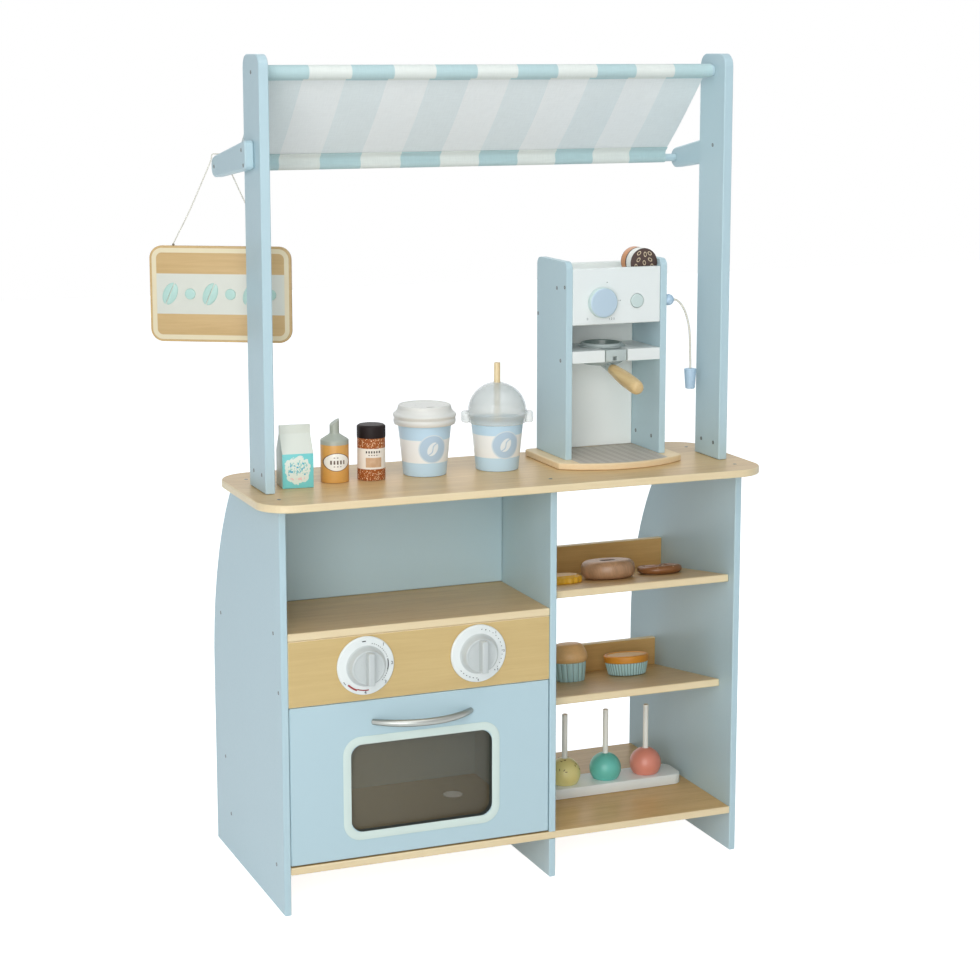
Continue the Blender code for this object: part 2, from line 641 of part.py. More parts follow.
def make_sign(shop):
    """The sign hangs by a string laid over the left arm, and swings about the arm's top edge."""
    hook = empty("sign_hook", (SIGN_X, SIGN_Y, arm_top(SIGN_Y)), shop)
    face = empty("sign_face", (0, 0, 0), hook, (0, 0, -SIGN_TURN))
    top = -SIGN_DROP
    half = SIGN_WIDTH / 2
    outline = rounded((-half, top - SIGN_HEIGHT), (half, top), [SIGN_RADIUS] * 4)
    sign = piece("sign_board", prism(outline, SIGN_THICK, "Y"), "beech", face, (0, -SIGN_THICK / 2, 0),
                 soft=0.0008)
    hole_depth = 0.008
    for side in (-1, 1):
        tool(sign, tube(STRING_HOLE, 2 * hole_depth, 12), "DIFFERENCE",
             (side * SIGN_HOLE_SPACING / 2, 0, top - hole_depth))
    hole_x = SIGN_HOLE_SPACING / 2
    side_x = (ARM_THICK / 2 + STRING_RADIUS + 2 * CLEAR) / math.cos(SIGN_TURN)
    over = STRING_RADIUS + 4 * CLEAR
    right = [(0, over), (side_x * 0.8, over), (side_x * 1.04, -0.0005), (side_x * 1.10, -0.004),
             (side_x * 1.45, -0.012), (hole_x * 0.62, top * 0.60), (hole_x * 0.97, top * 0.95),
             (hole_x, top + 0.002), (hole_x, top - 0.006)]
    left = [(-x, z) for x, z in right[:0:-1]]
    route = smooth_route([Vector((x, 0, z)) for x, z in left + right], 2)
    cord("sign_string", route, STRING_RADIUS, "string", face)


def machine_side():
    """Side view of a machine side board, with rounded upper corners."""
    low = (-SIDE_FRONT, BASE_THICK + CLEAR)
    high = (-SIDE_FRONT + SIDE_DEPTH, BASE_THICK + SIDE_HEIGHT)
    return rounded(low, high, (0.0005, 0.0005, SIDE_CORNER, SIDE_CORNER), 5)


def make_machine(shop):
    """The machine stands loose on the countertop. Its parts are placed from the middle of its base."""
    machine = empty("machine", (MACHINE_X, MACHINE_Y, ON_COUNTER), shop)
    half_base = BASE_WIDTH / 2
    bulge_radius = (half_base ** 2 + BASE_BULGE ** 2) / (2 * BASE_BULGE)
    sweep = math.degrees(math.asin(half_base / bulge_radius))
    back_corner = 0.008
    front = arc((0, -BASE_FRONT - BASE_BULGE + bulge_radius), bulge_radius, 270 - sweep, 270 + sweep, 16)
    rear = (arc((half_base - back_corner, BASE_BACK - back_corner), back_corner, 0, 90, 3)
            + arc((-half_base + back_corner, BASE_BACK - back_corner), back_corner, 90, 180, 3))
    piece("machine_base", prism(front + rear, BASE_THICK, "Z"), "beech", machine, soft=SOFT_EDGE)

    inner = SIDE_GAP / 2
    for name, x in (("machine_left_side", -inner - PANEL), ("machine_right_side", inner)):
        piece(name, prism(machine_side(), PANEL, "X"), "blue_paint", machine, (x, 0, 0), soft=0.0015)

    fit = inner - CLEAR
    front_y = -SIDE_FRONT + 0.0005
    back_y = -SIDE_FRONT + SIDE_DEPTH - BACK_SETBACK
    board("machine_back", (-fit, back_y, BASE_THICK + CLEAR), (fit, back_y + PANEL, FACE_TOP + BASE_THICK),
          "white_paint", machine)
    face_top = FACE_TOP + BASE_THICK
    face = board("machine_front_panel", (-fit, front_y, face_top - FACE_HEIGHT), (fit, front_y + PANEL, face_top),
                 "white_paint", machine)
    out = (math.pi / 2, 0, 0)
    tool(face, tube(0.0042, 3 * PANEL), "DIFFERENCE", (DIAL_X, front_y + 2 * PANEL, DIAL_Z + BASE_THICK), out)
    tool(face, tube(BUTTON_RADIUS + BUTTON_RUN, 3 * PANEL, 24), "DIFFERENCE",
         (BUTTON_X, front_y + 2 * PANEL, DIAL_Z + BASE_THICK), out)
    tray_top = face_top - TRAY_DEPTH
    board("machine_top_tray", (-fit, front_y + PANEL + CLEAR, tray_top - PANEL),
          (fit, back_y - CLEAR, tray_top), "white_paint", machine)
    make_dial_and_button(machine, front_y)
    make_filter(machine, fit, front_y, back_y)
    make_pods(machine, fit, front_y, tray_top)
    make_wand(machine, inner + PANEL)


def make_dial_and_button(machine, front_y):
    height = DIAL_Z + BASE_THICK
    out = (math.pi / 2, 0, 0)
    axis = empty("dial_axis", (DIAL_X, front_y, height), machine)
    shaft = 0.0039
    profile = [(0, -PANEL - 0.004), (shaft, -PANEL - 0.004), (shaft, CLEAR), (DIAL_RADIUS - 0.001, CLEAR),
               (DIAL_RADIUS, 0.0015), (DIAL_RADIUS, DIAL_THICK - 0.002), (DIAL_RADIUS - 0.002, DIAL_THICK),
               (0, DIAL_THICK)]
    piece("machine_dial", turned(profile), "blue_paint", axis, rotation=out)
    guide = empty("button_guide", (BUTTON_X, front_y, height), machine)
    cap = 0.0015
    flange = PANEL + CLEAR
    profile = [(0, -flange - 0.003), (BUTTON_RADIUS + 0.002, -flange - 0.003),
               (BUTTON_RADIUS + 0.002, -flange), (BUTTON_RADIUS, -flange), (BUTTON_RADIUS, cap - 0.001),
               (BUTTON_RADIUS - 0.001, cap), (0, cap)]
    piece("brew_button", turned(profile, 28), "white_paint", guide, rotation=out)


def make_filter(machine, fit, front_y, back_y):
    """The filter shelf has a keyhole slot, and the portafilter drops into it from above."""
    top = FILTER_TOP + BASE_THICK
    hole = BASKET_RADIUS + BASKET_RUN
    mouth = FILTER_SLOT / 2
    open_angle = math.degrees(math.asin(mouth / hole))
    keyhole = arc((0, FILTER_Y), hole, -90 + open_angle, 270 - open_angle, 28)
    outline = ([(mouth, front_y)] + keyhole + [(-mouth, front_y), (-fit, front_y)]
               + [(-fit, back_y - CLEAR), (fit, back_y - CLEAR), (fit, front_y)])
    piece("filter_shelf", prism(outline, FILTER_THICK, "Z"), "white_paint", machine, (0, 0, top - FILTER_THICK))

    holder = empty("portafilter", (0, FILTER_Y, top), machine)
    flange = 0.0018
    bowl = BASKET_RADIUS - 0.0085
    bowl_floor = 0.008 - BASKET_DEPTH
    profile = [(0, -BASKET_DEPTH), (BASKET_RADIUS - 0.006, -BASKET_DEPTH),
               (BASKET_RADIUS, -BASKET_DEPTH + 0.004), (BASKET_RADIUS, CLEAR), (BASKET_RADIUS + 0.0026, CLEAR),
               (BASKET_RADIUS + 0.0026, flange), (bowl, flange), (bowl - 0.0012, bowl_floor + 0.002),
               (bowl - 0.0027, bowl_floor), (0, bowl_floor)]
    basket = piece("portafilter_basket", turned(profile), "grey_paint", holder)
    block = mouth - 0.0020
    block_front = front_y - FILTER_Y + 0.0005
    tool(basket, box((-block, block_front, -FILTER_THICK), (block, -BASKET_RADIUS + 0.004, -CLEAR)), "UNION")
    tool(basket, box((-0.005, block_front - 0.01, -0.0142), (0.001, block_front + 0.008, -0.0088)), "DIFFERENCE")
    neck_tilt = (math.pi / 2 + HANDLE_TILT, 0, 0)
    neck_start = Vector((0, -0.010, -0.0226))
    run = Vector((0, -math.cos(HANDLE_TILT), -math.sin(HANDLE_TILT)))
    neck_length = 0.0255
    tool(basket, tube(0.0062, neck_length), "UNION", neck_start, neck_tilt)

    grip_start = neck_start + run * (neck_length + CLEAR)
    grip = [(0, 0), (0.0072, 0), (0.0082, 0.0012), (0.0088, 0.012), (GRIP_RADIUS, 0.040),
            (GRIP_RADIUS, GRIP_LENGTH - 0.010), (0.0086, GRIP_LENGTH - 0.0045), (0.0055, GRIP_LENGTH - 0.0012),
            (0, GRIP_LENGTH)]
    piece("portafilter_handle", turned(grip, 24), "beech", holder, grip_start, neck_tilt)


def make_pods(machine, fit, front_y, tray_top):
    """Two coffee pods stand on edge in the top tray, against the right side board."""
    soft = 0.0012
    profile = [(0, 0), (POD_RADIUS - soft, 0), (POD_RADIUS, soft), (POD_RADIUS, POD_THICK - soft),
               (POD_RADIUS - soft, POD_THICK), (0, POD_THICK)]
    x = fit - POD_RADIUS
    height = tray_top + CLEAR + POD_RADIUS
    y = front_y + PANEL + 4 * CLEAR
    for name, shift in (("front_pod", 0.0), ("back_pod", POD_THICK + CLEAR)):
        place = (x, y + shift + POD_THICK, height)
        piece(name, turned(profile), "coffee_brown", machine, place, (math.pi / 2, 0, 0))


def make_wand(machine, side_x):
    """A bead on the machine's side holds a short cord with a milk nozzle at its end."""
    height = DIAL_Z + BASE_THICK - 0.0015
    radius = SOCKET_RADIUS
    bead = ([(0, CLEAR), (radius * 0.72, CLEAR)] + arc((0, radius * 0.72), radius, -30, 68, 4)
            + [(0, radius * 1.72)])
    piece("wand_socket", turned(bead, 20), "blue_paint", machine, (side_x, SOCKET_Y, height), (0, math.pi / 2, 0))
    exit_x = side_x + radius * 1.72 + CLEAR
    start = Vector((exit_x, SOCKET_Y, height))
    route = [Vector((x, 0, z)) for x, z in ((0, 0), (0.0040, -0.0006), (0.0102, -0.0052), (0.0162, -0.0140),
                                            (0.0208, -0.0255), (0.0243, -0.0400), (0.0258, -0.0560),
                                            (0.0262, -0.0720), (0.0268, -0.0860), (0.0268, -0.0938))]
    cord("wand_cord", smooth_route([start + step for step in route], 3), CORD_RADIUS, "string", machine)
    tip = [(0, 0), (NOZZLE_TIP_RADIUS - 0.001, 0), (NOZZLE_TIP_RADIUS, 0.001),
           (NOZZLE_TOP_RADIUS, NOZZLE_LENGTH - 0.001), (NOZZLE_TOP_RADIUS - 0.001, NOZZLE_LENGTH),
           (0, NOZZLE_LENGTH)]
    end = start + route[-1]
    piece("wand_nozzle", turned(tip, 24), "blue_paint", machine, end - Vector((0, 0, NOZZLE_LENGTH + CLEAR)))


def make_counter_goods(shop):
    half = CARTON_SIDE / 2
    fin = CARTON_FIN / 2
    gable = [(-half, 0), (half, 0), (half, CARTON_EAVE), (fin, CARTON_RIDGE), (fin, CARTON_TOP),
             (-fin, CARTON_TOP), (-fin, CARTON_RIDGE), (-half, CARTON_EAVE)]
    stand = empty("carton_stand", (*CARTON, ON_COUNTER), shop, (0, 0, CARTON_TURN))
    piece("milk_carton", prism(gable, CARTON_SIDE, "X"), "carton_paint", stand, (-half, 0, 0),
          soft=0.0006)

    bottle = [(0, 0), (BOTTLE_RADIUS - 0.001, 0), (BOTTLE_RADIUS, 0.001), (BOTTLE_RADIUS, BOTTLE_SHOULDER),
              (SPOUT_RADIUS, BOTTLE_NECK), (SPOUT_RADIUS, BOTTLE_TOP), (0, BOTTLE_TOP)]
    sugar = piece("sugar_bottle", turned(bottle, 28), "amber_paint", shop, (*BOTTLE, ON_COUNTER))
    slant = [(-0.02, BOTTLE_TOP - 0.017), (0.02, BOTTLE_TOP + 0.0095), (0.02, BOTTLE_TOP + 0.03),
             (-0.02, BOTTLE_TOP + 0.03)]
    tool(sugar, prism(slant, 0.04, "Y"), "DIFFERENCE", (BOTTLE[0], BOTTLE[1] - 0.02, ON_COUNTER))

    side = JAR_RADIUS - 0.0004
    jar = [(0, 0), (JAR_RADIUS - 0.001, 0), (side, 0.001), (side, JAR_BODY), (JAR_RADIUS, JAR_BODY + 0.0005),
           (JAR_RADIUS, JAR_TOP - 0.002), (JAR_RADIUS - 0.0022, JAR_TOP), (0, JAR_TOP)]
    piece("spice_jar", turned(jar, 28), "spice_paint", shop, (*JAR, ON_COUNTER))


def cup_profile(mouth, height):
    """An open, tapering cup with a rolled rim."""
    return [(0, 0.001), (CUP_FOOT - 0.003, 0.001), (CUP_FOOT - 0.002, 0), (CUP_FOOT, 0),
            (mouth - 0.0006, height - 0.003), (mouth, height - 0.002), (mouth, height),
            (mouth - CUP_WALL, height), (mouth - CUP_WALL - 0.0006, height - 0.004),
            (CUP_FOOT - CUP_WALL, CUP_FLOOR), (0, CUP_FLOOR)]


def make_cups(shop):
    cup = empty("takeaway_cup_stand", (*CUP, ON_COUNTER), shop)
    piece("takeaway_cup", turned(cup_profile(CUP_MOUTH, CUP_HEIGHT)), "cup_paint", cup)
    seat = CUP_HEIGHT + CLEAR
    inside = CUP_MOUTH + 2 * CLEAR
    brim, cap, crown = LID_RADIUS, LID_CAP, LID_RISE
    lid = [(0, crown - 0.0013), (cap - 0.0035, crown - 0.0013), (cap - 0.0020, crown), (cap, crown - 0.0002),
           (cap + 0.0010, crown - 0.0023), (cap + 0.0017, crown - 0.0058), (brim - 0.0039, 0.0085),
           (brim - 0.0009, 0.0062), (brim, 0.0045), (brim - 0.0006, 0.0028), (brim - 0.0018, 0.0003),
           (brim - 0.0008, -0.0022), (brim - 0.0010, -0.0045), (brim - 0.0020, -LID_SKIRT), (brim - 0.0031, -LID_SKIRT), (inside, -0.0040), (inside, 0),
           (inside - 0.0039, 0), (cap - 0.0015, crown - 0.0033), (0, crown - 0.0033)]
    piece("takeaway_lid", turned(lid), "lid_white", cup, (0, 0, seat))

    shake = empty("dome_cup_stand", (*DOME_CUP, ON_COUNTER), shop)
    mouth = CUP_MOUTH - 0.0008
    piece("dome_cup", turned(cup_profile(mouth, DOME_CUP_HEIGHT)), "cup_paint", shake)
    inner = DOME_RADIUS - DOME_WALL
    neck = STRAW_RADIUS + 0.001
    rise = 0.009
    outer_arc = arc((0, rise), DOME_RADIUS, 0, math.degrees(math.acos(neck / DOME_RADIUS)), 6)
    inner_arc = arc((0, rise), inner, math.degrees(math.acos(neck / inner)), 0, 6)
    fit = mouth + 2 * CLEAR
    ring = ([(fit, -DOME_SKIRT), (DOME_RADIUS - 0.0012, -DOME_SKIRT), (DOME_RADIUS, 0.0010 - DOME_SKIRT),
             (DOME_RADIUS + 0.001, 0.0040),
             (DOME_RADIUS + 0.0024, 0.0060), (DOME_RADIUS + 0.0024, rise - 0.0010)] + outer_arc + inner_arc
            + [(inner, 0.0015), (mouth - CUP_WALL, 0.0015), (mouth - CUP_WALL, 0), (fit, 0)])
    lid_seat = (0, 0, DOME_CUP_HEIGHT + CLEAR)
    dome = piece("dome_lid", ring_turned(ring), "clear_dome", shake, lid_seat)
    for turn in (EAR_TURN, EAR_TURN + math.pi):
        tool(dome, ear_lobe(inner + DOME_WALL / 2 - 0.0002), "UNION", lid_seat, (0, 0, turn))
    straw = [(0, 0), (STRAW_RADIUS, 0), (STRAW_RADIUS, STRAW_LENGTH), (0, STRAW_LENGTH)]
    piece("drinking_straw", turned(straw, 16), "beech", shake, (0, 0, CUP_FLOOR + CLEAR))


def ear_lobe(root):
    """A lifting lobe that grows from inside the dome's wall, rounded in plan, above and below."""
    bm = bmesh.new()
    low = 0.0005 - DOME_SKIRT
    levels = [(low, 0.0022), (low + EAR_TALL / 4, 0.0002), (low + 0.7 * EAR_TALL, 0), (low + EAR_TALL, 0.0034)]
    rings = []
    lean = math.degrees(math.asin((EAR_WIDTH / 2 - 0.004) / root))
    for height, drawn in levels:
        half = EAR_WIDTH / 2 - drawn
        middle = EAR_REACH - drawn - EAR_CORNER
        outline = (arc((0, 0), root, lean, -lean, 4)
                   + arc((middle, EAR_CORNER - half), EAR_CORNER, 270, 360, 3)
                   + arc((middle, half - EAR_CORNER), EAR_CORNER, 0, 90, 3))
        rings.append([bm.verts.new((x, y, height)) for x, y in outline])
    for lower, upper in zip(rings, rings[1:]):
        for i in range(len(lower)):
            bm.faces.new((lower[i - 1], lower[i], upper[i], upper[i - 1]))
    bm.faces.new(rings[0][::-1])
    bm.faces.new(rings[-1])
    bmesh.ops.triangulate(bm, faces=bm.faces)
    return bm


def ring_turned(section, segments=ROUND):
    """A ring turned about Z from a closed section that stays off the axis."""
    bm = bmesh.new()
    verts = [bm.verts.new((radius, 0.0, height)) for radius, height in section]
    edges = [bm.edges.new(pair) for pair in zip(verts, verts[1:] + verts[:1])]
    bmesh.ops.spin(bm, geom=verts + edges, axis=(0, 0, 1), cent=(0, 0, 0), angle=math.tau, steps=segments,
                   use_merge=True)
    bmesh.ops.remove_doubles(bm, verts=bm.verts, dist=1e-6)
    return bm


def fluted(levels, flutes, per_flute):
    """A body of rings of (radius, height, flute depth), wavy all round like a paper case."""
    bm = bmesh.new()
    count = flutes * per_flute
    rings = []
    for radius, height, depth in levels:
        ring = []
        for i in range(count):
            angle = math.tau * i / count
            reach = radius + depth * math.cos(flutes * angle)
            ring.append(bm.verts.new((reach * math.cos(angle), reach * math.sin(angle), height)))
        rings.append(ring)
    for low, high in zip(rings, rings[1:]):
        for i in range(count):
            j = (i + 1) % count
            bm.faces.new((low[i], low[j], high[j], high[i]))
    bm.faces.new(rings[0][::-1])
    bm.faces.new(rings[-1])
    return bm


def on_shelf(name, place, shelf, shop):
    """A stand on a tilted shelf's surface, tilted with it."""
    x, y = place
    lift = CLEAR / math.cos(SHELF_TILT)
    return empty(name, (x, y, shelf_height(shelf, y) + lift), shop, (-SHELF_TILT, 0, 0))


def pretzel_outline():
    """A rounded heart, the outside of a twisted pretzel."""
    points = []
    for i in range(40):
        t = math.tau * i / 40
        x = math.sin(t) * (1 + 0.10 * math.cos(2 * t))
        y = 0.80 * math.cos(t) - 0.16 * math.exp(-((x / 0.22) ** 2)) * (1 if math.cos(t) > 0 else 0)
        points.append((x * PRETZEL_WIDTH / 2, y * PRETZEL_WIDTH / 2))
    return points


def make_shelf_goods(shop):
    middle = (DONUT_RADIUS + DONUT_HOLE) / 2
    half = (DONUT_RADIUS - DONUT_HOLE) / 2
    tall = DONUT_HEIGHT / 2
    section = []
    for i in range(14):
        angle = math.tau * i / 14
        swell = abs(math.sin(angle)) ** 0.8 * math.copysign(1, math.sin(angle))
        section.append((middle + half * math.cos(angle), tall + tall * swell))
    stand = on_shelf("donut_stand", DONUT, UPPER_SHELF, shop)
    piece("donut", ring_turned(section), "beech", stand)

    stand = on_shelf("pretzel_stand", PRETZEL, UPPER_SHELF, shop)
    pretzel = piece("pretzel", prism(pretzel_outline(), PRETZEL_THICK, "Z"), "dough", stand, soft=0.0025, steps=2)
    for x, y, radius in ((-0.0135, 0.0065, 0.0068), (0.0135, 0.0065, 0.0068), (0, -0.0110, 0.0060)):
        tool(pretzel, tube(radius, 3 * PRETZEL_THICK, 16), "DIFFERENCE", (x, y, -PRETZEL_THICK))

    stand = on_shelf("cookie_stand", COOKIE, UPPER_SHELF, shop)
    levels = [(COOKIE_RADIUS - 0.001, 0, 0.0007), (COOKIE_RADIUS, 0.0015, 0.0009), (COOKIE_RADIUS, 0.0065, 0.0009),
              (COOKIE_RADIUS - 0.0015, 0.0085, 0.0007), (COOKIE_RADIUS - 0.004, 0.0088, 0.0004),
              (COOKIE_RADIUS - 0.0055, COOKIE_THICK, 0)]
    piece("cookie", fluted(levels, 18, 3), "icing", stand)

    stand = on_shelf("cupcake_stand", CUPCAKE, LOWER_SHELF, shop)
    crown = CUPCAKE_HEIGHT
    mouth = CUPCAKE_MOUTH
    levels = [(CUPCAKE_FOOT - 0.001, 0, 0.0007), (CUPCAKE_FOOT, 0.001, 0.0009), (mouth, CUPCAKE_WRAP, 0.0010),
              (mouth - 0.0008, CUPCAKE_WRAP + 0.0006, 0.0002), (mouth + 0.0014, CUPCAKE_WRAP + 0.0022, 0),
              (mouth + 0.0030, CUPCAKE_WRAP + 0.0060, 0), (mouth + 0.0034, crown - 0.0140, 0),
              (mouth + 0.0018, crown - 0.0070, 0), (mouth - 0.0045, crown - 0.0018, 0),
              (mouth - 0.0100, crown, 0)]
    piece("cupcake", fluted(levels, 16, 3), "wrapper", stand)

    stand = on_shelf("tart_stand", TART, LOWER_SHELF, shop)
    rim = TART_HEIGHT
    levels = [(TART_FOOT - 0.001, 0, 0.0005), (TART_FOOT, 0.001, 0.0007), (TART_MOUTH - 0.001, TART_CUP, 0.0008),
              (TART_MOUTH - 0.0013, TART_CUP + 0.0005, 0), (TART_MOUTH + 0.0008, TART_CUP + 0.0012, 0),
              (TART_MOUTH + 0.0014, rim - 0.0018, 0), (TART_MOUTH + 0.0004, rim - 0.0004, 0),
              (TART_MOUTH - 0.0028, rim, 0), (TART_MOUTH - 0.0042, rim - 0.0016, 0)]
    piece("tart", fluted(levels, 26, 2), "wrapper", stand)


def make_cake_pops(shop):
    """Three cake pops stand head down on a low tray."""
    stand = empty("tray_stand", (*TRAY, FLOOR_TOP + CLEAR), shop)
    half = (TRAY_LENGTH / 2, TRAY_WIDTH / 2)
    outline = rounded((-half[0], -half[1]), half, [TRAY_CORNER] * 4, 4)
    piece("pop_tray", prism(outline, TRAY_THICK, "Z"), "white_paint", stand, soft=SOFT_EDGE)
    top = math.degrees(math.asin(STICK_RADIUS / POP_RADIUS))
    base = math.degrees(math.asin(POP_FLAT / POP_RADIUS))
    ball = [(radius, POP_FLAT + rise) for radius, rise in arc((0, 0), POP_RADIUS, -base, 90 - top, 8)]
    profile = [(0, 0)] + ball + [(STICK_RADIUS, POP_HEIGHT), (0, POP_HEIGHT)]
    for name, shift, paint in (("olive_cake_pop", -1, "olive"), ("teal_cake_pop", 0, "teal"),
                               ("coral_cake_pop", 1, "coral")):
        piece(name, turned(profile, 20), paint, stand, (shift * POP_SPACING, 0, TRAY_THICK + CLEAR))


def main():
    clear_scene()
    make_paints()
    shop = empty("shop", (-SHOP_MIDDLE_X, -SHOP_MIDDLE_Y, 0))
    make_cabinet(shop)
    make_display(shop)
    make_door(shop)
    make_knobs(shop)
    make_awning(shop)
    make_sign(shop)
    make_machine(shop)
    make_counter_goods(shop)
    make_cups(shop)
    make_shelf_goods(shop)
    make_cake_pops(shop)


main()
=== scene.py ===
"""Toy coffee shop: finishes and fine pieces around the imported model.

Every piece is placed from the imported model's own nodes, in metres. Painted boards keep the model's shapes
and get a finish. Turned, printed and soft pieces are made again here in finer shapes.
"""

import math
import random
from contextlib import contextmanager

import bpy
from bpy.props import FloatProperty, FloatVectorProperty, IntProperty, PointerProperty
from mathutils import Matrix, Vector, noise


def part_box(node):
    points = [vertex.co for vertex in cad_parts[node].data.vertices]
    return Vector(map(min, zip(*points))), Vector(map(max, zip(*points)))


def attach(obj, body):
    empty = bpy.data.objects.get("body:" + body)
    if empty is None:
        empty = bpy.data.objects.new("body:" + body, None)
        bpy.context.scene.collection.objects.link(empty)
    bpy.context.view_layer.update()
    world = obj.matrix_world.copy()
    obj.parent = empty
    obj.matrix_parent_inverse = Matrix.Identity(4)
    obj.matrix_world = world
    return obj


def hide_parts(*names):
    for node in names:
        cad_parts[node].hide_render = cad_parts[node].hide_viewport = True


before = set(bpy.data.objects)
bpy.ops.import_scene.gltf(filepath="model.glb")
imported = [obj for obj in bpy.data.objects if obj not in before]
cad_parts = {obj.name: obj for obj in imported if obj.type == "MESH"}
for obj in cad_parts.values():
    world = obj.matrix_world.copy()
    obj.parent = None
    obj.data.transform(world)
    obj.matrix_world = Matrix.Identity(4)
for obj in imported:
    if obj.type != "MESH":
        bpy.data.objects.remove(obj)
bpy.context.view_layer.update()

bl_info = {
    "name": "Toy Coffee Shop",
    "version": (1, 0, 0),
    "blender": (4, 5, 0),
    "location": "3D View > Sidebar > Coffee Shop",
    "description": "Finishes and fine pieces of a toy coffee shop",
    "category": "Object",
}

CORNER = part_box("left_side_panel")[0]
OUTWARD = (math.pi / 2, 0, 0)
SIGN_TURN = math.radians(-29.7)
SHELF_TILT = math.radians(-8.5)
CARTON_TURN = math.radians(-6)
HANDLE_TILT = math.radians(11)
ON_SHELF = (SHELF_TILT, 0, 0)
ON_SIGN = (0, 0, SIGN_TURN)
ON_CARTON = (0, 0, CARTON_TURN)
GAP = 0.0003
SKIRT_TOP = 0.0046
LETTER_RISE, ARC_RISE = 0.00012, 0.00025
CUP_MOUTH, DOME_CUP_MOUTH, CUP_WALL = 0.0358, 0.0350, 0.0025

# Area lights: name, place from the cabinet's corner, size, and power against the key light's.
LIGHTS = (("key", (-1.3, -2.9, 1.3), 2.2, 1.0), ("top", (0.3, -0.9, 2.9), 1.8, 0.36),
          ("left", (-2.8, -0.9, 1.7), 1.8, 0.12), ("back", (0.6, 2.4, 2.4), 1.8, 0.16))


def at(x, y, z):
    """A place measured from the cabinet's left front corner on the floor."""
    return CORNER + Vector((x, y, z))


def middle(node):
    low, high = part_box(node)
    return (low + high) / 2


def foot(node):
    """Middle of a node's underside."""
    low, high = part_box(node)
    return Vector(((low.x + high.x) / 2, (low.y + high.y) / 2, low.z))


def srgb(red, green, blue):
    """A paint's colour as it looks on a screen, from 0 to 255, as linear values."""
    return tuple((value / 255 / 12.92) if value <= 10 else ((value / 255 + 0.055) / 1.055) ** 2.4
                 for value in (red, green, blue))


def toned(tint, share):
    """A colour made darker, or lighter where the share is over 1."""
    return tuple(part * share for part in tint)


def colour(name, description, red, green, blue):
    return FloatVectorProperty(name=name, description=description, subtype="COLOR", size=3, min=0, max=1,
                               default=srgb(red, green, blue))


def length(name, description, value, low, high):
    return FloatProperty(name=name, description=description, default=value, min=low, max=high, unit="LENGTH",
                         subtype="DISTANCE", precision=4)


class ShopColours(bpy.types.PropertyGroup):
    """Paints, cloth and prints."""
    blue: colour("Blue paint", "Panels, posts and machine sides", 185, 209, 216)
    white: colour("White paint", "Machine front, filter shelf and tray", 232, 236, 233)
    board: colour("Board", "Broad face of the wood-grained boards", 217, 184, 131)
    board_grain: colour("Board grain", "Darker streaks of the wood-grained boards", 185, 149, 98)
    board_edge: colour("Board edge", "Pale edge band of the boards", 236, 216, 176)
    stripe: colour("Stripe", "Coloured stripe of the awning", 170, 210, 216)
    cloth: colour("Cloth", "White of the awning", 248, 250, 248)
    metal: colour("Handle metal", "Satin metal of the oven's handle", 160, 163, 159)
    pane: colour("Pane", "Smoked pane of the oven door", 116, 108, 88)
    portafilter: colour("Portafilter", "Grey paint of the basket", 182, 192, 189)
    cord: colour("Cord", "Twisted cotton of the strings", 238, 233, 219)
    turquoise: colour("Turquoise", "Lower part of the milk carton", 122, 212, 214)
    amber: colour("Amber", "Sugar bottle", 224, 168, 88)
    cone: colour("Cone", "Top of the sugar bottle", 168, 173, 160)
    spice: colour("Spice", "Speckled print of the jar", 160, 88, 44)
    lid_black: colour("Jar lid", "Nearly black lid of the jar", 27, 16, 15)
    cup_blue: colour("Cup blue", "Blue bands of the cups", 198, 227, 246)
    cup_white: colour("Cup white", "White band of the cups and their lid", 246, 248, 247)
    dough: colour("Dough", "Turned wood of the donut", 204, 161, 124)
    pretzel: colour("Pretzel", "Brown wood of the pretzel", 158, 105, 62)
    yolk: colour("Yellow", "Rim of the cookie", 250, 194, 52)
    sponge: colour("Sponge", "Top of the cupcake", 247, 200, 138)
    case: colour("Paper case", "Case of the cupcake and tart", 182, 220, 222)
    glaze: colour("Glaze", "Orange rim of the tart", 224, 150, 50)
    olive: colour("Olive", "Left cake pop", 238, 225, 150)
    teal: colour("Teal", "Middle cake pop", 108, 200, 186)
    coral: colour("Coral", "Right cake pop", 228, 144, 124)
    pod: colour("Coffee brown", "Faces of the pods", 62, 44, 38)
    mint: colour("Mint", "Raised beans on the sign", 178, 210, 200)


class ShopSizes(bpy.types.PropertyGroup):
    """Sizes of the pieces that are made here."""
    trim: length("Window trim", "Width of the white trim round the window", 0.0105, 0.002, 0.03)
    trim_rise: length("Trim thickness", "How far the trim stands out of the door", 0.0009, 0.0002, 0.005)
    screw: length("Screw head", "Radius of a screw's head", 0.0026, 0.001, 0.01)
    weave: length("Weave", "Distance between the awning's threads", 0.0011, 0.0003, 0.01)
    sprinkle: length("Sprinkle", "Length of a sprinkle on a cake pop", 0.0032, 0.001, 0.01)
    turns: IntProperty(name="Facets", description="Steps round a turned piece", default=96, min=24, max=256)


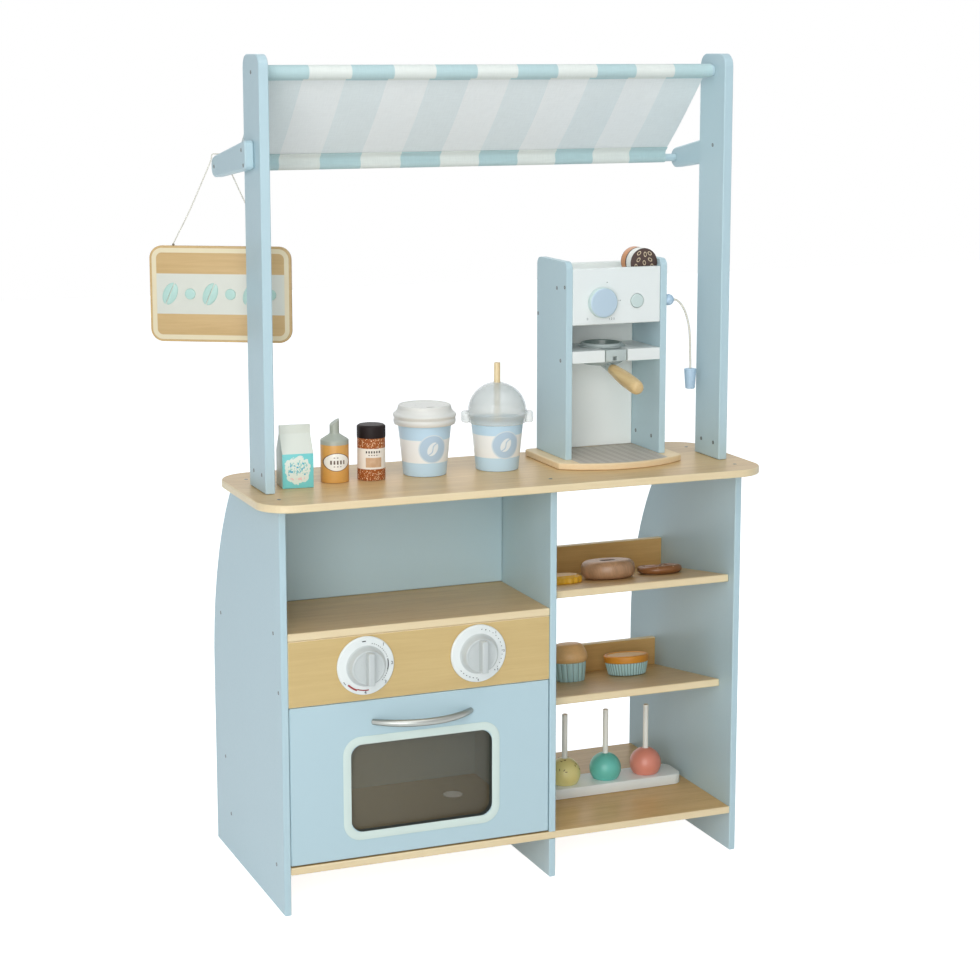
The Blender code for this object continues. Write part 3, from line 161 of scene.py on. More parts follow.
class StageSettings(bpy.types.PropertyGroup):
    """Camera and light."""
    eye: FloatVectorProperty(name="Eye", description="Camera's place from the cabinet's corner", size=3,
                             subtype="TRANSLATION", unit="LENGTH", default=(-0.7774, -2.5804, 1.0775))
    yaw: FloatProperty(name="Yaw", description="Turn to the right", default=0.3885, subtype="ANGLE")
    pitch: FloatProperty(name="Pitch", description="Tilt downwards", default=0.1688, subtype="ANGLE")
    lens: FloatProperty(name="Lens", description="Focal length on a 36 mm sensor", default=36 * 2244.2 / 980,
                        min=10, max=300, unit="CAMERA")
    shift: FloatProperty(name="Shift", description="Vertical lens shift", default=-0.06, min=-0.2, max=0.2)
    key: FloatProperty(name="Key light", description="Power of the large soft light", default=62, min=0,
                       max=500, unit="POWER")
    fill: FloatProperty(name="Sky", description="Strength of the even light", default=0.28, min=0, max=3)


def colours():
    return bpy.context.scene.shop_colours


def sizes():
    return bpy.context.scene.shop_sizes


# ---- modelling -------------------------------------------------------------------------------------------

def clear_selection():
    active = bpy.context.view_layer.objects.active
    if active and active.mode != "OBJECT":
        bpy.ops.object.mode_set(mode="OBJECT")
    bpy.ops.object.select_all(action="DESELECT")


def take(piece):
    clear_selection()
    piece.select_set(True)
    bpy.context.view_layer.objects.active = piece


@contextmanager
def editing(piece):
    take(piece)
    bpy.ops.object.mode_set(mode="EDIT")
    bpy.ops.mesh.select_mode(type="VERT")
    yield
    bpy.ops.object.mode_set(mode="OBJECT")


def begin(name, add, **settings):
    """Adds a primitive with nothing else selected, and names it."""
    clear_selection()
    add(**settings)
    piece = bpy.context.object
    piece.name = piece.data.name = name
    return piece


def pick_faces(piece, test):
    """Selects the faces whose centre and normal pass a test. It is called in edit mode."""
    bpy.ops.mesh.select_all(action="DESELECT")
    bpy.ops.object.mode_set(mode="OBJECT")
    for face in piece.data.polygons:
        face.select = test(face.center, face.normal)
    bpy.ops.object.mode_set(mode="EDIT")
    bpy.ops.mesh.select_mode(type="FACE")


def pick_edges(piece, test):
    """Selects the edges whose two ends pass a test. It is called in edit mode."""
    bpy.ops.mesh.select_mode(type="EDGE")
    bpy.ops.mesh.select_all(action="DESELECT")
    bpy.ops.object.mode_set(mode="OBJECT")
    points = piece.data.vertices
    for edge in piece.data.edges:
        edge.select = test(points[edge.vertices[0]].co, points[edge.vertices[1]].co)
    bpy.ops.object.mode_set(mode="EDIT")


def settle(piece, place=(0, 0, 0), turn=(0, 0, 0)):
    """Puts a piece in its place and writes the place into its mesh."""
    piece.location = place
    piece.rotation_euler = turn
    return apply_place(piece)


def soften(piece, width, steps, angle=30):
    """Rounds the sharp edges with a Bevel that is applied."""
    take(piece)
    bevel = piece.modifiers.new("Soft edges", "BEVEL")
    bevel.width = width
    bevel.segments = steps
    bevel.limit_method = "ANGLE"
    bevel.angle_limit = math.radians(angle)
    bpy.ops.object.modifier_apply(modifier=bevel.name)
    smooth(piece)
    return piece


def smooth(piece, angle=32):
    take(piece)
    bpy.ops.object.shade_smooth_by_angle(angle=math.radians(angle))
    return piece


def join(name, pieces):
    """Joins pieces into the first of them."""
    clear_selection()
    for piece in pieces:
        piece.select_set(True)
    bpy.context.view_layer.objects.active = pieces[0]
    if len(pieces) > 1:
        bpy.ops.object.join()
    joined = bpy.context.object
    joined.name = joined.data.name = name
    return joined


def duplicate(piece):
    """A copy with a mesh of its own."""
    copy = piece.copy()
    copy.data = piece.data.copy()
    bpy.context.scene.collection.objects.link(copy)
    return copy


def carve(piece, tool):
    """Cuts a tool's shape out of a piece, and deletes the tool."""
    take(piece)
    cut = piece.modifiers.new("Cut", "BOOLEAN")
    cut.operation = "DIFFERENCE"
    cut.object = tool
    bpy.ops.object.modifier_apply(modifier=cut.name)
    bpy.data.objects.remove(tool)


def apply_place(piece):
    """Writes a piece's place, turn and size into its mesh."""
    take(piece)
    bpy.ops.object.transform_apply(location=True, rotation=True, scale=True)
    return piece


def spun(name, profile, steps=0, closed=False):
    """A piece turned about Z from a profile of (radius, height), drawn by extruding a point."""
    piece = begin(name, bpy.ops.mesh.primitive_plane_add, size=0.002)
    with editing(piece):
        bpy.ops.mesh.merge(type="CENTER")
        start = profile[0]
        bpy.ops.transform.translate(value=(start[0], 0, start[1]))
        for before, after in zip(profile, profile[1:]):
            bpy.ops.mesh.extrude_vertices_move(
                TRANSFORM_OT_translate={"value": (after[0] - before[0], 0, after[1] - before[1])})
        if closed:
            bpy.ops.mesh.select_all(action="SELECT")
            bpy.ops.mesh.edge_face_add()
            bpy.ops.mesh.delete(type="ONLY_FACE")
        bpy.ops.mesh.select_all(action="SELECT")
        bpy.ops.mesh.spin(steps=steps or sizes().turns, angle=math.tau, center=(0, 0, 0), axis=(0, 0, 1))
        bpy.ops.mesh.select_all(action="SELECT")
        bpy.ops.mesh.remove_doubles(threshold=1e-6)
        bpy.ops.mesh.normals_make_consistent(inside=False)
    return smooth(piece)


def fillet(points, radius, steps=3):
    """Rounds the corners of a profile, except at its two ends."""
    path = [Vector(point) for point in points]
    result = [path[0]]
    for before, corner, after in zip(path, path[1:], path[2:]):
        back, on = before - corner, after - corner
        reach = min(radius, back.length * 0.45, on.length * 0.45)
        first, last = corner + back.normalized() * reach, corner + on.normalized() * reach
        for i in range(steps + 1):
            t = i / steps
            result.append(first.lerp(corner, t).lerp(corner.lerp(last, t), t))
    return [tuple(point) for point in result + [path[-1]]]


def curve_arc(centre, radius, start, end, steps):
    """Points along an arc, with angles in degrees."""
    angles = [math.radians(start + (end - start) * i / steps) for i in range(steps + 1)]
    return [(centre[0] + radius * math.cos(a), centre[1] + radius * math.sin(a)) for a in angles]


def block(name, low, high, soft, steps=2):
    """A cube brought to its two corners, its edges softened where soft isn't 0."""
    low, high = Vector(low), Vector(high)
    piece = begin(name, bpy.ops.mesh.primitive_cube_add, size=1, location=(low + high) / 2)
    piece.scale = high - low
    apply_place(piece)
    return soften(piece, soft, steps) if soft else piece


def plate(name, width, height, thick, corner, soft=0.0008):
    """A flat plate in X and Z about the origin, with rounded corners, thick along Y."""
    piece = block(name, (-width / 2, -thick / 2, -height / 2), (width / 2, thick / 2, height / 2), 0)
    with editing(piece):
        pick_edges(piece, lambda a, b: abs(a.y - b.y) > thick / 2)
        bpy.ops.mesh.bevel(offset=corner, segments=8, affect="EDGES")
    return soften(piece, soft, 2, 60) if soft else piece


def smooth_route(points, per_span):
    """Points read from a smooth curve through the route's own points."""
    ends = [2 * points[0] - points[1]] + points + [2 * points[-1] - points[-2]]
    route = []
    for a, b, c, d in zip(ends, ends[1:], ends[2:], ends[3:]):
        for i in range(per_span):
            t = i / per_span
            route.append(0.5 * (2 * b + (c - a) * t + (2 * a - 5 * b + 4 * c - d) * t * t
                                + (3 * b - a - 3 * c + d) * t ** 3))
    return route + [points[-1]]


def run_length(route):
    return sum((b - a).length for a, b in zip(route, route[1:]))


def tube(name, route, radius, resolution, taper=None):
    """A round bar along a route, as a curve with filled caps."""
    curve = bpy.data.curves.new(name, "CURVE")
    curve.dimensions = "3D"
    curve.bevel_depth = radius
    curve.bevel_resolution = resolution
    curve.use_fill_caps = True
    line = curve.splines.new("POLY")
    line.points.add(len(route) - 1)
    for index, (point, place) in enumerate(zip(line.points, route)):
        point.co = (*place, 1.0)
        point.radius = taper(index / (len(route) - 1)) if taper else 1.0
    line.use_smooth = True
    piece = bpy.data.objects.new(name, curve)
    bpy.context.scene.collection.objects.link(piece)
    return piece


def as_mesh(piece):
    take(piece)
    bpy.ops.object.convert(target="MESH")
    return smooth(bpy.context.object, 50)


def lettering(name, text, size, place):
    """A small printed number, flat in X and Y and facing +Z, centred on its place."""
    piece = begin(name, bpy.ops.object.text_add, location=(0, 0, 0))
    piece.data.body = text
    piece.data.size = size
    piece.data.align_x = "CENTER"
    piece.data.align_y = "CENTER"
    piece.data.extrude = LETTER_RISE
    piece.data.resolution_u = 3
    take(piece)
    bpy.ops.object.convert(target="MESH")
    return settle(bpy.context.object, place)


def ribbon(name, inner, outer, start, end, height):
    """A flat arc printed about Z, from one angle to another in degrees."""
    piece = begin(name, bpy.ops.mesh.primitive_plane_add, size=0.002)
    with editing(piece):
        bpy.ops.mesh.merge(type="CENTER")
        bpy.ops.transform.translate(value=(inner, 0, height))
        bpy.ops.mesh.extrude_vertices_move(TRANSFORM_OT_translate={"value": (outer - inner, 0, 0)})
        bpy.ops.mesh.select_all(action="SELECT")
        bpy.ops.mesh.spin(steps=max(2, int(abs(end - start) / 4)), angle=math.radians(end - start),
                          center=(0, 0, height), axis=(0, 0, 1))
        bpy.ops.mesh.select_all(action="SELECT")
        bpy.ops.mesh.extrude_region_move(TRANSFORM_OT_translate={"value": (0, 0, ARC_RISE)})
        bpy.ops.mesh.select_all(action="SELECT")
        bpy.ops.mesh.normals_make_consistent(inside=False)
    return settle(piece, turn=(0, 0, math.radians(end)))


def finish(piece, body, slot, paint, *replaced):
    """Gives a piece its material and the body it moves with. The slot is not used."""
    piece.data.materials.clear()
    piece.data.materials.append(paint)
    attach(piece, body)
    if replaced:
        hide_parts(*replaced)
    return piece


def dress(material, *nodes):
    """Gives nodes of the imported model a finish."""
    for node in nodes:
        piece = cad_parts[node]
        if not piece.material_slots:
            piece.data.materials.append(material)
        piece.material_slots[0].material = material


# ---- materials -------------------------------------------------------------------------------------------

class Graph:
    """Adds nodes to a tree in the order in which a finish is built up."""

    def __init__(self, tree):
        self.tree = tree

    def put(self, kind, **settings):
        node = self.tree.nodes.new(kind)
        for key, value in settings.items():
            setattr(node, key, value)
        return node

    def feed(self, node, socket, value):
        target = node.inputs[socket]
        if isinstance(value, bpy.types.NodeSocket):
            self.tree.links.new(value, target)
        elif value is not None:
            if target.type == "RGBA" and len(value) == 3:
                value = (*value, 1.0)
            target.default_value = value

    def math(self, operation, a, b=None, clamp=False):
        node = self.put("ShaderNodeMath", operation=operation, use_clamp=clamp)
        self.feed(node, 0, a)
        self.feed(node, 1, b)
        return node.outputs[0]

    def times(self, first, *others):
        for other in others:
            first = self.math("MULTIPLY", first, other)
        return first

    def plus(self, first, *others, clamp=False):
        for other in others:
            first = self.math("ADD", first, other, clamp)
        return first

    def vector(self, operation, a, b=None):
        node = self.put("ShaderNodeVectorMath", operation=operation)
        self.feed(node, 0, a)
        self.feed(node, 1, b)
        return node.outputs["Value" if operation in ("DOT_PRODUCT", "DISTANCE", "LENGTH") else "Vector"]

    def spread(self, value):
        """A number as all three parts of a vector."""
        node = self.put("ShaderNodeCombineXYZ")
        for socket in range(3):
            self.feed(node, socket, value)
        return node.outputs[0]

    def shaded(self, tint, tone):
        """A colour made lighter or darker by a number."""
        return self.vector("MULTIPLY", tint, self.spread(tone))

    def reach(self, vector, weights=(1.0, 1.0, 0.0)):
        """The length of a vector whose parts are weighed first."""
        return self.vector("LENGTH", self.vector("MULTIPLY", vector, weights))

    def normal(self):
        return self.put("ShaderNodeNewGeometry").outputs["Normal"]

    def axes(self, vector):
        node = self.put("ShaderNodeSeparateXYZ")
        self.feed(node, 0, vector)
        return node.outputs

    def scaled(self, vector, scale):
        node = self.put("ShaderNodeMapping", vector_type="POINT")
        self.feed(node, "Vector", vector)
        self.feed(node, "Scale", scale)
        return node.outputs[0]

    def local(self, vector, place, turn=(0, 0, 0)):
        """The vector measured from a place and a turn of the object."""
        node = self.put("ShaderNodeMapping", vector_type="TEXTURE")
        self.feed(node, "Vector", vector)
        self.feed(node, "Location", place)
        self.feed(node, "Rotation", turn)
        return node.outputs[0]

    def noise(self, vector, scale, detail=4.0, rough=0.5):
        node = self.put("ShaderNodeTexNoise")
        self.feed(node, "Vector", vector)
        self.feed(node, "Scale", scale)
        self.feed(node, "Detail", detail)
        self.feed(node, "Roughness", rough)
        return node.outputs["Fac"]

    def between(self, value, low, high, to_low=0.0, to_high=1.0):
        """A value carried from one range to another, and held inside it."""
        node = self.put("ShaderNodeMapRange", clamp=True)
        for socket, number in ((0, value), (1, low), (2, high), (3, to_low), (4, to_high)):
            self.feed(node, socket, number)
        return node.outputs[0]

    def under(self, value, low, high):
        """1 below the step from low to high, and 0 above it."""
        return self.between(value, low, high, 1.0, 0.0)

    def mix(self, factor, a, b):
        node = self.put("ShaderNodeMix", data_type="RGBA")
        self.feed(node, 0, factor)
        self.feed(node, 6, a)
        self.feed(node, 7, b)
        return node.outputs[2]

    def band(self, value, low, high, edge=0.0002):
        """1 between two values and 0 outside them."""
        rise = self.between(value, low - edge, low + edge)
        return self.times(rise, self.under(value, high - edge, high + edge))

    def group(self, name, **inputs):
        node = self.put("ShaderNodeGroup", node_tree=bpy.data.node_groups[name])
        for socket, value in inputs.items():
            self.feed(node, socket.replace("_", " "), value)
        return node.outputs

    def wood(self, vector, light, dark, contrast, pores):
        return self.group("Wood grain", Vector=vector, Light=light, Dark=dark, Contrast=contrast, Pores=pores)


def new_group(name, inputs, outputs):
    tree = bpy.data.node_groups.new(name, "ShaderNodeTree")
    for socket, kind, default in inputs:
        item = tree.interface.new_socket(socket, in_out="INPUT", socket_type="NodeSocket" + kind)
        if default is not None:
            item.default_value = (*default, 1.0) if kind == "Color" else default
    for socket, kind in outputs:
        tree.interface.new_socket(socket, in_out="OUTPUT", socket_type="NodeSocket" + kind)
    graph = Graph(tree)
    given = tree.nodes.new("NodeGroupInput").outputs
    out = tree.nodes.new("NodeGroupOutput")
    return graph, given, lambda socket, value: graph.feed(out, socket, value)


def build_groups():
    """The shop's shared effects: satin paint, wood grain, printed outlines, weave and speckles."""
    graph, given, send = new_group(
        "Satin paint",
        [("Vector", "Vector", None), ("Colour", "Color", (0.5, 0.5, 0.5)), ("Mottle", "Float", 0.03),
         ("Gloss", "Float", 0.42)],
        [("Colour", "Color"), ("Roughness", "Float"), ("Height", "Float")])
    cloud = graph.noise(given["Vector"], 9.0, 3.0)
    fine = graph.noise(given["Vector"], 240.0, 3.0, 0.6)
    swing = graph.times(graph.math("SUBTRACT", cloud, 0.5), given["Mottle"])
    send("Colour", graph.shaded(given["Colour"], graph.plus(1.0, swing)))
    send("Roughness", graph.plus(given["Gloss"], graph.between(fine, 0.3, 0.7, -0.05, 0.05)))
    brushed = graph.noise(graph.scaled(given["Vector"], (60.0, 60.0, 900.0)), 1.0, 2.0)
    send("Height", graph.plus(fine, graph.times(brushed, 0.6)))

    graph, given, send = new_group(
        "Wood grain",
        [("Vector", "Vector", None), ("Light", "Color", (0.8, 0.6, 0.4)), ("Dark", "Color", (0.5, 0.35, 0.2)),
         ("Contrast", "Float", 1.0), ("Pores", "Float", 0.5)],
        [("Colour", "Color"), ("Roughness", "Float"), ("Height", "Float")])
    bend = graph.noise(graph.scaled(given["Vector"], (2.5, 9.0, 9.0)), 1.0, 2.0)
    vector = graph.vector("ADD", given["Vector"],
                          graph.vector("MULTIPLY", graph.spread(bend), (0.0, 0.03, 0.03)))
    broad = graph.noise(graph.scaled(vector, (5.0, 85.0, 85.0)), 1.0, 4.0, 0.6)
    streak = graph.noise(graph.scaled(vector, (16.0, 420.0, 420.0)), 1.0, 5.0, 0.65)
    pores = graph.noise(graph.scaled(vector, (55.0, 950.0, 950.0)), 1.0, 2.0, 0.5)
    body = graph.plus(graph.times(broad, 0.55), graph.times(streak, 0.45))
    ramp = graph.between(body, 0.38, 0.62)
    tick = graph.times(graph.between(pores, 0.60, 0.72), given["Pores"])
    amount = graph.plus(graph.times(ramp, given["Contrast"]), tick, clamp=True)
    send("Colour", graph.mix(amount, given["Light"], given["Dark"]))
    send("Roughness", graph.between(streak, 0.3, 0.7, 0.30, 0.40))
    send("Height", graph.math("SUBTRACT", 1.0, graph.times(amount, 0.8)))

    graph, given, send = new_group(
        "Rounded outline",
        [("Vector", "Vector", None), ("Half size", "Vector", (0.05, 0.0, 0.03)), ("Corner", "Float", 0.01)],
        [("Distance", "Float")])
    flat = graph.vector("ABSOLUTE", given["Vector"])
    inset = graph.vector("SUBTRACT", flat, given["Half size"])
    rim = graph.vector("ADD", inset, graph.spread(given["Corner"]))
    parts = graph.axes(graph.vector("MAXIMUM", rim, (0.0, 0.0, 0.0)))
    squares = graph.plus(graph.math("POWER", parts[0], 2.0), graph.math("POWER", parts[2], 2.0))
    send("Distance", graph.math("SUBTRACT", graph.math("SQRT", squares), given["Corner"]))

    graph, given, send = new_group(
        "Cloth weave",
        [("Vector", "Vector", None), ("Pitch", "Float", 0.001)],
        [("Height", "Float"), ("Shade", "Float")])
    count = graph.math("DIVIDE", math.tau, given["Pitch"])
    over = graph.axes(given["Vector"])
    warp = graph.math("SINE", graph.times(over[0], count))
    weft = graph.math("SINE", graph.times(over[1], count))
    slub = graph.noise(graph.scaled(given["Vector"], (60.0, 700.0, 1.0)), 1.0, 3.0)
    slub_up = graph.noise(graph.scaled(given["Vector"], (700.0, 60.0, 1.0)), 1.0, 3.0)
    slubs = graph.plus(slub, slub_up)
    send("Height", graph.plus(graph.times(warp, weft, 0.5), slubs))
    send("Shade", graph.between(slubs, 0.7, 1.3, 0.955, 1.02))

    graph, given, send = new_group(
        "Speckles",
        [("Vector", "Vector", None), ("Scale", "Float", 600.0), ("Amount", "Float", 0.4)],
        [("Mask", "Float"), ("Tone", "Float")])
    cells = graph.put("ShaderNodeTexVoronoi", feature="F1")
    graph.feed(cells, "Vector", given["Vector"])
    graph.feed(cells, "Scale", given["Scale"])
    tone = graph.put("ShaderNodeSeparateColor")
    graph.feed(tone, 0, cells.outputs["Color"])
    near = graph.math("LESS_THAN", cells.outputs["Distance"], 0.42)
    chosen = graph.math("LESS_THAN", tone.outputs[0], given["Amount"])
    send("Mask", graph.times(near, chosen))
    send("Tone", tone.outputs[1])


def new_material(name, **settings):
    """A material with a Principled shader, and a graph and its object coordinates to build on."""
    material = bpy.data.materials.new(name)
    material.use_nodes = True
    graph = Graph(material.node_tree)
    shader = material.node_tree.nodes["Principled BSDF"]
    for socket, value in settings.items():
        graph.feed(shader, socket.replace("_", " "), value)
    place = graph.put("ShaderNodeTexCoord").outputs["Object"]
    return material, graph, shader, place


def relief(graph, shader, height, strength, distance=0.0004):
    bump = graph.put("ShaderNodeBump")
    graph.feed(bump, "Height", height)
    graph.feed(bump, "Strength", strength)
    graph.feed(bump, "Distance", distance)
    graph.feed(shader, "Normal", bump.outputs[0])


def painted(name, tint, gloss=0.42, mottle=0.03, bump=0.12):
    """Satin paint of one colour."""
    return painted_over(name, lambda graph, place: tint, gloss, mottle, bump)


def painted_over(name, build, gloss=0.42, mottle=0.02, bump=0.12, **settings):
    """Satin paint in more than one colour: build(graph, place) gives the colour."""
    material, graph, shader, place = new_material(name, **settings)
    coat = graph.group("Satin paint", Vector=place, Colour=build(graph, place), Mottle=mottle, Gloss=gloss)
    graph.feed(shader, "Base Color", coat["Colour"])
    graph.feed(shader, "Roughness", coat["Roughness"])
    relief(graph, shader, coat["Height"], bump)
    return material


def wooden(name, build, bump=0.25):
    """Wood: build(graph, place) gives the grain's outputs and the colour made of them."""
    material, graph, shader, place = new_material(name)
    wood, tint = build(graph, place)
    graph.feed(shader, "Base Color", tint)
    graph.feed(shader, "Roughness", wood["Roughness"])
    relief(graph, shader, wood["Height"], bump, 0.0002)
    return material


def grained(name, light, dark, contrast, pores, edge=None, broad_axis=2, turn=(0, 0, 0), vent=None):
    """Wood grain along X. A board's edges are pale where edge is given, and the wall of a vent is painted
    white as painted light, standing in for the bright floor seen through the vent.
    """
    def build(graph, place):
        vector = graph.local(place, (0, 0, 0), turn)
        wood = graph.wood(vector, light, dark, contrast, pores)
        tint = wood["Colour"]
        if edge is not None:
            face = graph.between(graph.math("ABSOLUTE", graph.axes(graph.normal())[broad_axis]), 0.80, 0.90)
            tint = graph.mix(face, graph.wood(vector, edge, light, 0.25, 0.0)["Colour"], tint)
        if vent is not None:
            # Painted light: the vent's wall is white, standing in for the bright floor seen through it.
            wall = graph.under(graph.reach(graph.local(place, vent)), 0.01352, 0.01358)
            tint = graph.mix(wall, tint, srgb(250, 249, 244))
        return wood, tint
    return wooden(name, build)


def build_materials():
    """The finishes that several pieces share."""
    paint = colours()
    return {
        "blue": painted("Light blue paint", paint.blue),
        "white": painted("White paint", paint.white, 0.38),
        "board": grained("Wood-grained board", paint.board, paint.board_grain, 0.55, 0.35, paint.board_edge),
        "upright": grained("Wood-grained panel", srgb(211, 183, 124), srgb(197, 166, 108), 0.5, 0.15,
                           paint.board_edge, 1),
        "rail": grained("Wood-grained rail", srgb(217, 178, 116), srgb(196, 154, 94), 0.6, 0.2,
                        paint.board_edge, 1),
        "inner_white": painted("White inside", srgb(250, 252, 247), 0.38),
        "cord": twisted("Twisted cotton", paint.cord),
        "black": painted("Black print", srgb(46, 47, 48), 0.5, 0.0),
        "grey": painted("Grey print", srgb(120, 126, 126), 0.5, 0.0),
        "red": painted("Dark red print", srgb(158, 52, 50), 0.5, 0.0),
        "screw": screw_metal("Screw steel"),
    }


def twisted(name, tint):
    """Cotton cord, whose strands are slanting waves in its height, with painted shade darkening its colour
    between them.
    """
    material, graph, shader, place = new_material(name, Roughness=0.85)
    across = graph.axes(graph.scaled(place, (1500.0, 1500.0, 2600.0)))
    strand = graph.math("SINE", graph.plus(*across))
    shade = graph.between(strand, -1.0, 1.0)
    # Painted shade: the cord is darker in the grooves between its strands.
    graph.feed(shader, "Base Color", graph.mix(shade, toned(tint, 0.80), tint))
    relief(graph, shader, strand, 0.5, 0.0003)
    return material


def screw_metal(name):
    material, graph, shader, place = new_material(name, Metallic=0.85)
    smear = graph.noise(place, 900.0, 2.0)
    graph.feed(shader, "Base Color", graph.mix(smear, srgb(112, 118, 120), srgb(146, 150, 150)))
    graph.feed(shader, "Roughness", graph.between(smear, 0.3, 0.7, 0.3, 0.5))
    return material


FINISH = {}


# ---- the stage -------------------------------------------------------------------------------------------

class COFFEESHOP_OT_stage(bpy.types.Operator):
    """Add the camera, the soft light and the pale floor"""
    bl_idname = "coffee_shop.stage"
    bl_label = "Stage"

    def execute(self, context):
        scene = context.scene
        settings = scene.shop_stage
        scene.view_settings.view_transform = "Standard"
        clear_selection()
        bpy.ops.object.camera_add(location=at(*settings.eye),
                                  rotation=(math.pi / 2 - settings.pitch, 0, -settings.yaw))
        camera = context.object
        camera.data.sensor_width = 36
        camera.data.lens = settings.lens
        camera.data.shift_y = settings.shift
        scene.camera = camera
        self.add_lights(scene, settings)
        floor = begin("floor", bpy.ops.mesh.primitive_plane_add, size=14, location=(0, 0, -0.0006))
        floor.data.materials.append(self.floor_paint())
        return {"FINISHED"}

    def add_lights(self, scene, settings):
        aim = at(0.32, 0.12, 0.55)
        for name, place, size, power in LIGHTS:
            bpy.ops.object.light_add(type="AREA", location=at(*place))
            lamp = bpy.context.object
            lamp.name = name
            lamp.data.size = size
            lamp.data.energy = settings.key * power
            lamp.rotation_euler = (lamp.location - aim).to_track_quat("Z", "Y").to_euler()
        world = bpy.data.worlds.new("Studio")
        scene.world = world
        world.use_nodes = True
        graph = Graph(world.node_tree)
        sky = world.node_tree.nodes["Background"]
        seen = self.seen_directly(graph)
        graph.feed(sky, "Color", graph.mix(seen, (0.84, 1.0, 1.12), (1.0, 1.0, 1.0)))
        graph.feed(sky, "Strength", graph.between(seen, 0.0, 1.0, settings.fill, 1.0))

    def seen_directly(self, graph):
        """1 for rays of the camera, mirrors and glass, which see the white backdrop."""
        rays = graph.put("ShaderNodeLightPath").outputs
        seen = graph.math("MAXIMUM", rays["Is Camera Ray"], rays["Is Glossy Ray"])
        return graph.math("MAXIMUM", seen, rays["Is Transmission Ray"])

    def floor_paint(self):
        material, graph, shader, place = new_material("Studio floor", Roughness=0.9)
        soft = graph.noise(place, 2.0, 2.0)
        graph.feed(shader, "Base Color", graph.mix(soft, (0.86, 0.86, 0.86), (0.88, 0.88, 0.88)))
        graph.feed(shader, "Emission Color", (1.0, 1.0, 1.0))
        graph.feed(shader, "Emission Strength", graph.times(self.seen_directly(graph), 0.86))
        return material


# ---- cabinet ---------------------------------------------------------------------------------------------

class COFFEESHOP_OT_cabinet(bpy.types.Operator):
    """Paint the cabinet and its boards"""
    bl_idname = "coffee_shop.cabinet"
    bl_label = "Cabinet"

    def execute(self, context):
        dress(FINISH["blue"], "left_side_panel", "right_side_panel", "centre_divider", "oven_back_panel",
              "upper_back_panel", "left_post", "right_post", "left_arm", "right_arm",
              "awning_top_rod", "awning_lower_rod", "machine_left_side", "machine_right_side")
        dress(FINISH["board"], "countertop", "oven_shelf", "upper_display_shelf", "lower_display_shelf")
        vent = Vector((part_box("centre_divider")[0].x - 0.0622, CORNER.y + 0.190, 0))
        dress(grained("Wood-grained bottom", srgb(212, 174, 112), srgb(180, 139, 80), 0.55, 0.35,
                      colours().board_edge, vent=vent), "bottom_board")
        dress(FINISH["upright"], "control_panel")
        dress(FINISH["rail"], "upper_shelf_rail", "lower_shelf_rail")
        dress(FINISH["inner_white"], "machine_back")
        dress(FINISH["white"], "machine_front_panel", "machine_top_tray", "filter_shelf")
        return {"FINISHED"}


class COFFEESHOP_OT_screws(bpy.types.Operator):
    """Add the cross-head screws that hold the boards"""
    bl_idname = "coffee_shop.screws"
    bl_label = "Screws"

    def execute(self, context):
        left, right, up = (0, -math.pi / 2, 0), (0, math.pi / 2, 0), (0, 0, 0)

        def side(node, end):
            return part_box(node)[end].x - CORNER.x

        def row(x, pairs, turn):
            return [((x, y, z), turn) for y, z in pairs]

        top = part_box("countertop")[1].z - CORNER.z
        foot_pair = ((0.243, 0.057), (0.033, 0.058))
        left_pairs = ((0.276, 0.329), (0.032, 0.360), (0.013, 0.288), (0.266, 0.131)) + foot_pair
        right_pairs = ((0.032, 0.371), (0.200, 0.348), (0.050, 0.222), (0.215, 0.199)) + foot_pair
        holes = row(0, left_pairs, left) + row(side("right_side_panel", 1), right_pairs, right)
        holes += [((x, y, top), up) for x, y in ((0.0040, 0.155), (0.0045, 0.0124), (0.367, 0.0103),
                                                (0.636, 0.154), (0.6355, 0.0123), (0.367, 0.150))]
        post_pairs = ((0.0808, 1.0494), (0.063, 0.5552), (0.098, 0.5552))
        holes += row(side("left_post", 0), post_pairs, left) + row(side("right_post", 1), post_pairs, right)
        inner_pairs = ((0.0634, 0.5544), (0.0978, 0.5546), (0.0784, 0.9518))
        holes += row(side("left_post", 1), inner_pairs, right) + row(side("right_post", 0), inner_pairs, left)
        arm_pairs = ((0.0868, 0.9556), (0.0785, 0.9372), (0.2130, 0.9295))
        holes += row(side("left_arm", 0), arm_pairs, left) + row(side("right_arm", 1), arm_pairs, right)
        self.place("cabinet_screws", "cabinet", holes)

        front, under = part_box("machine_left_side")[0].y - CORNER.y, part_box("machine_base")[0].z - CORNER.z
        high_pairs = ((0.0305, 0.234), (0.0055, 0.237), (0.0181, 0.139), (0.0925, 0.194))
        low_pairs = ((0.0238, 0.029), (0.0714, 0.029))
        holes = []
        for node, end, turn, pairs in (("machine_left_side", 0, left, high_pairs),
                                       ("machine_right_side", 1, right, high_pairs),
                                       ("machine_right_side", 0, left, low_pairs),
                                       ("machine_left_side", 1, right, low_pairs)):
            holes += row(side(node, end), [(front + y, under + z) for y, z in pairs], turn)
        self.place("machine_screws", "machine", holes)
        return {"FINISHED"}

    def place(self, name, body, holes):
        head = self.head(name, sizes().screw)
        heads = [head] + [duplicate(head) for _ in holes[1:]]
        for head, (place, turn) in zip(heads, holes):
            settle(head, at(*place), turn)
        finish(join(name, heads), body, "metal", FINISH["screw"])

    def head(self, name, radius):
        """A countersunk head with its cross cut in, its rim level with the board."""
        rise = 0.00015
        profile = fillet([(0, -0.0006), (radius * 0.9, -0.0006), (radius, rise), (radius * 0.86, rise * 2.4),
                          (0, rise * 3)], 0.0002, 2)
        head = spun(name, profile, 20)
        for turn in (0.35, 0.35 + math.pi / 2):
            slot = block(name + "_cross", (-radius * 0.62, -radius * 0.13, -0.0004),
                         (radius * 0.62, radius * 0.13, 0.002), 0)
            carve(head, settle(slot, turn=(0, 0, turn)))
        return head


# ---- oven ------------------------------------------------------------------------------------------------

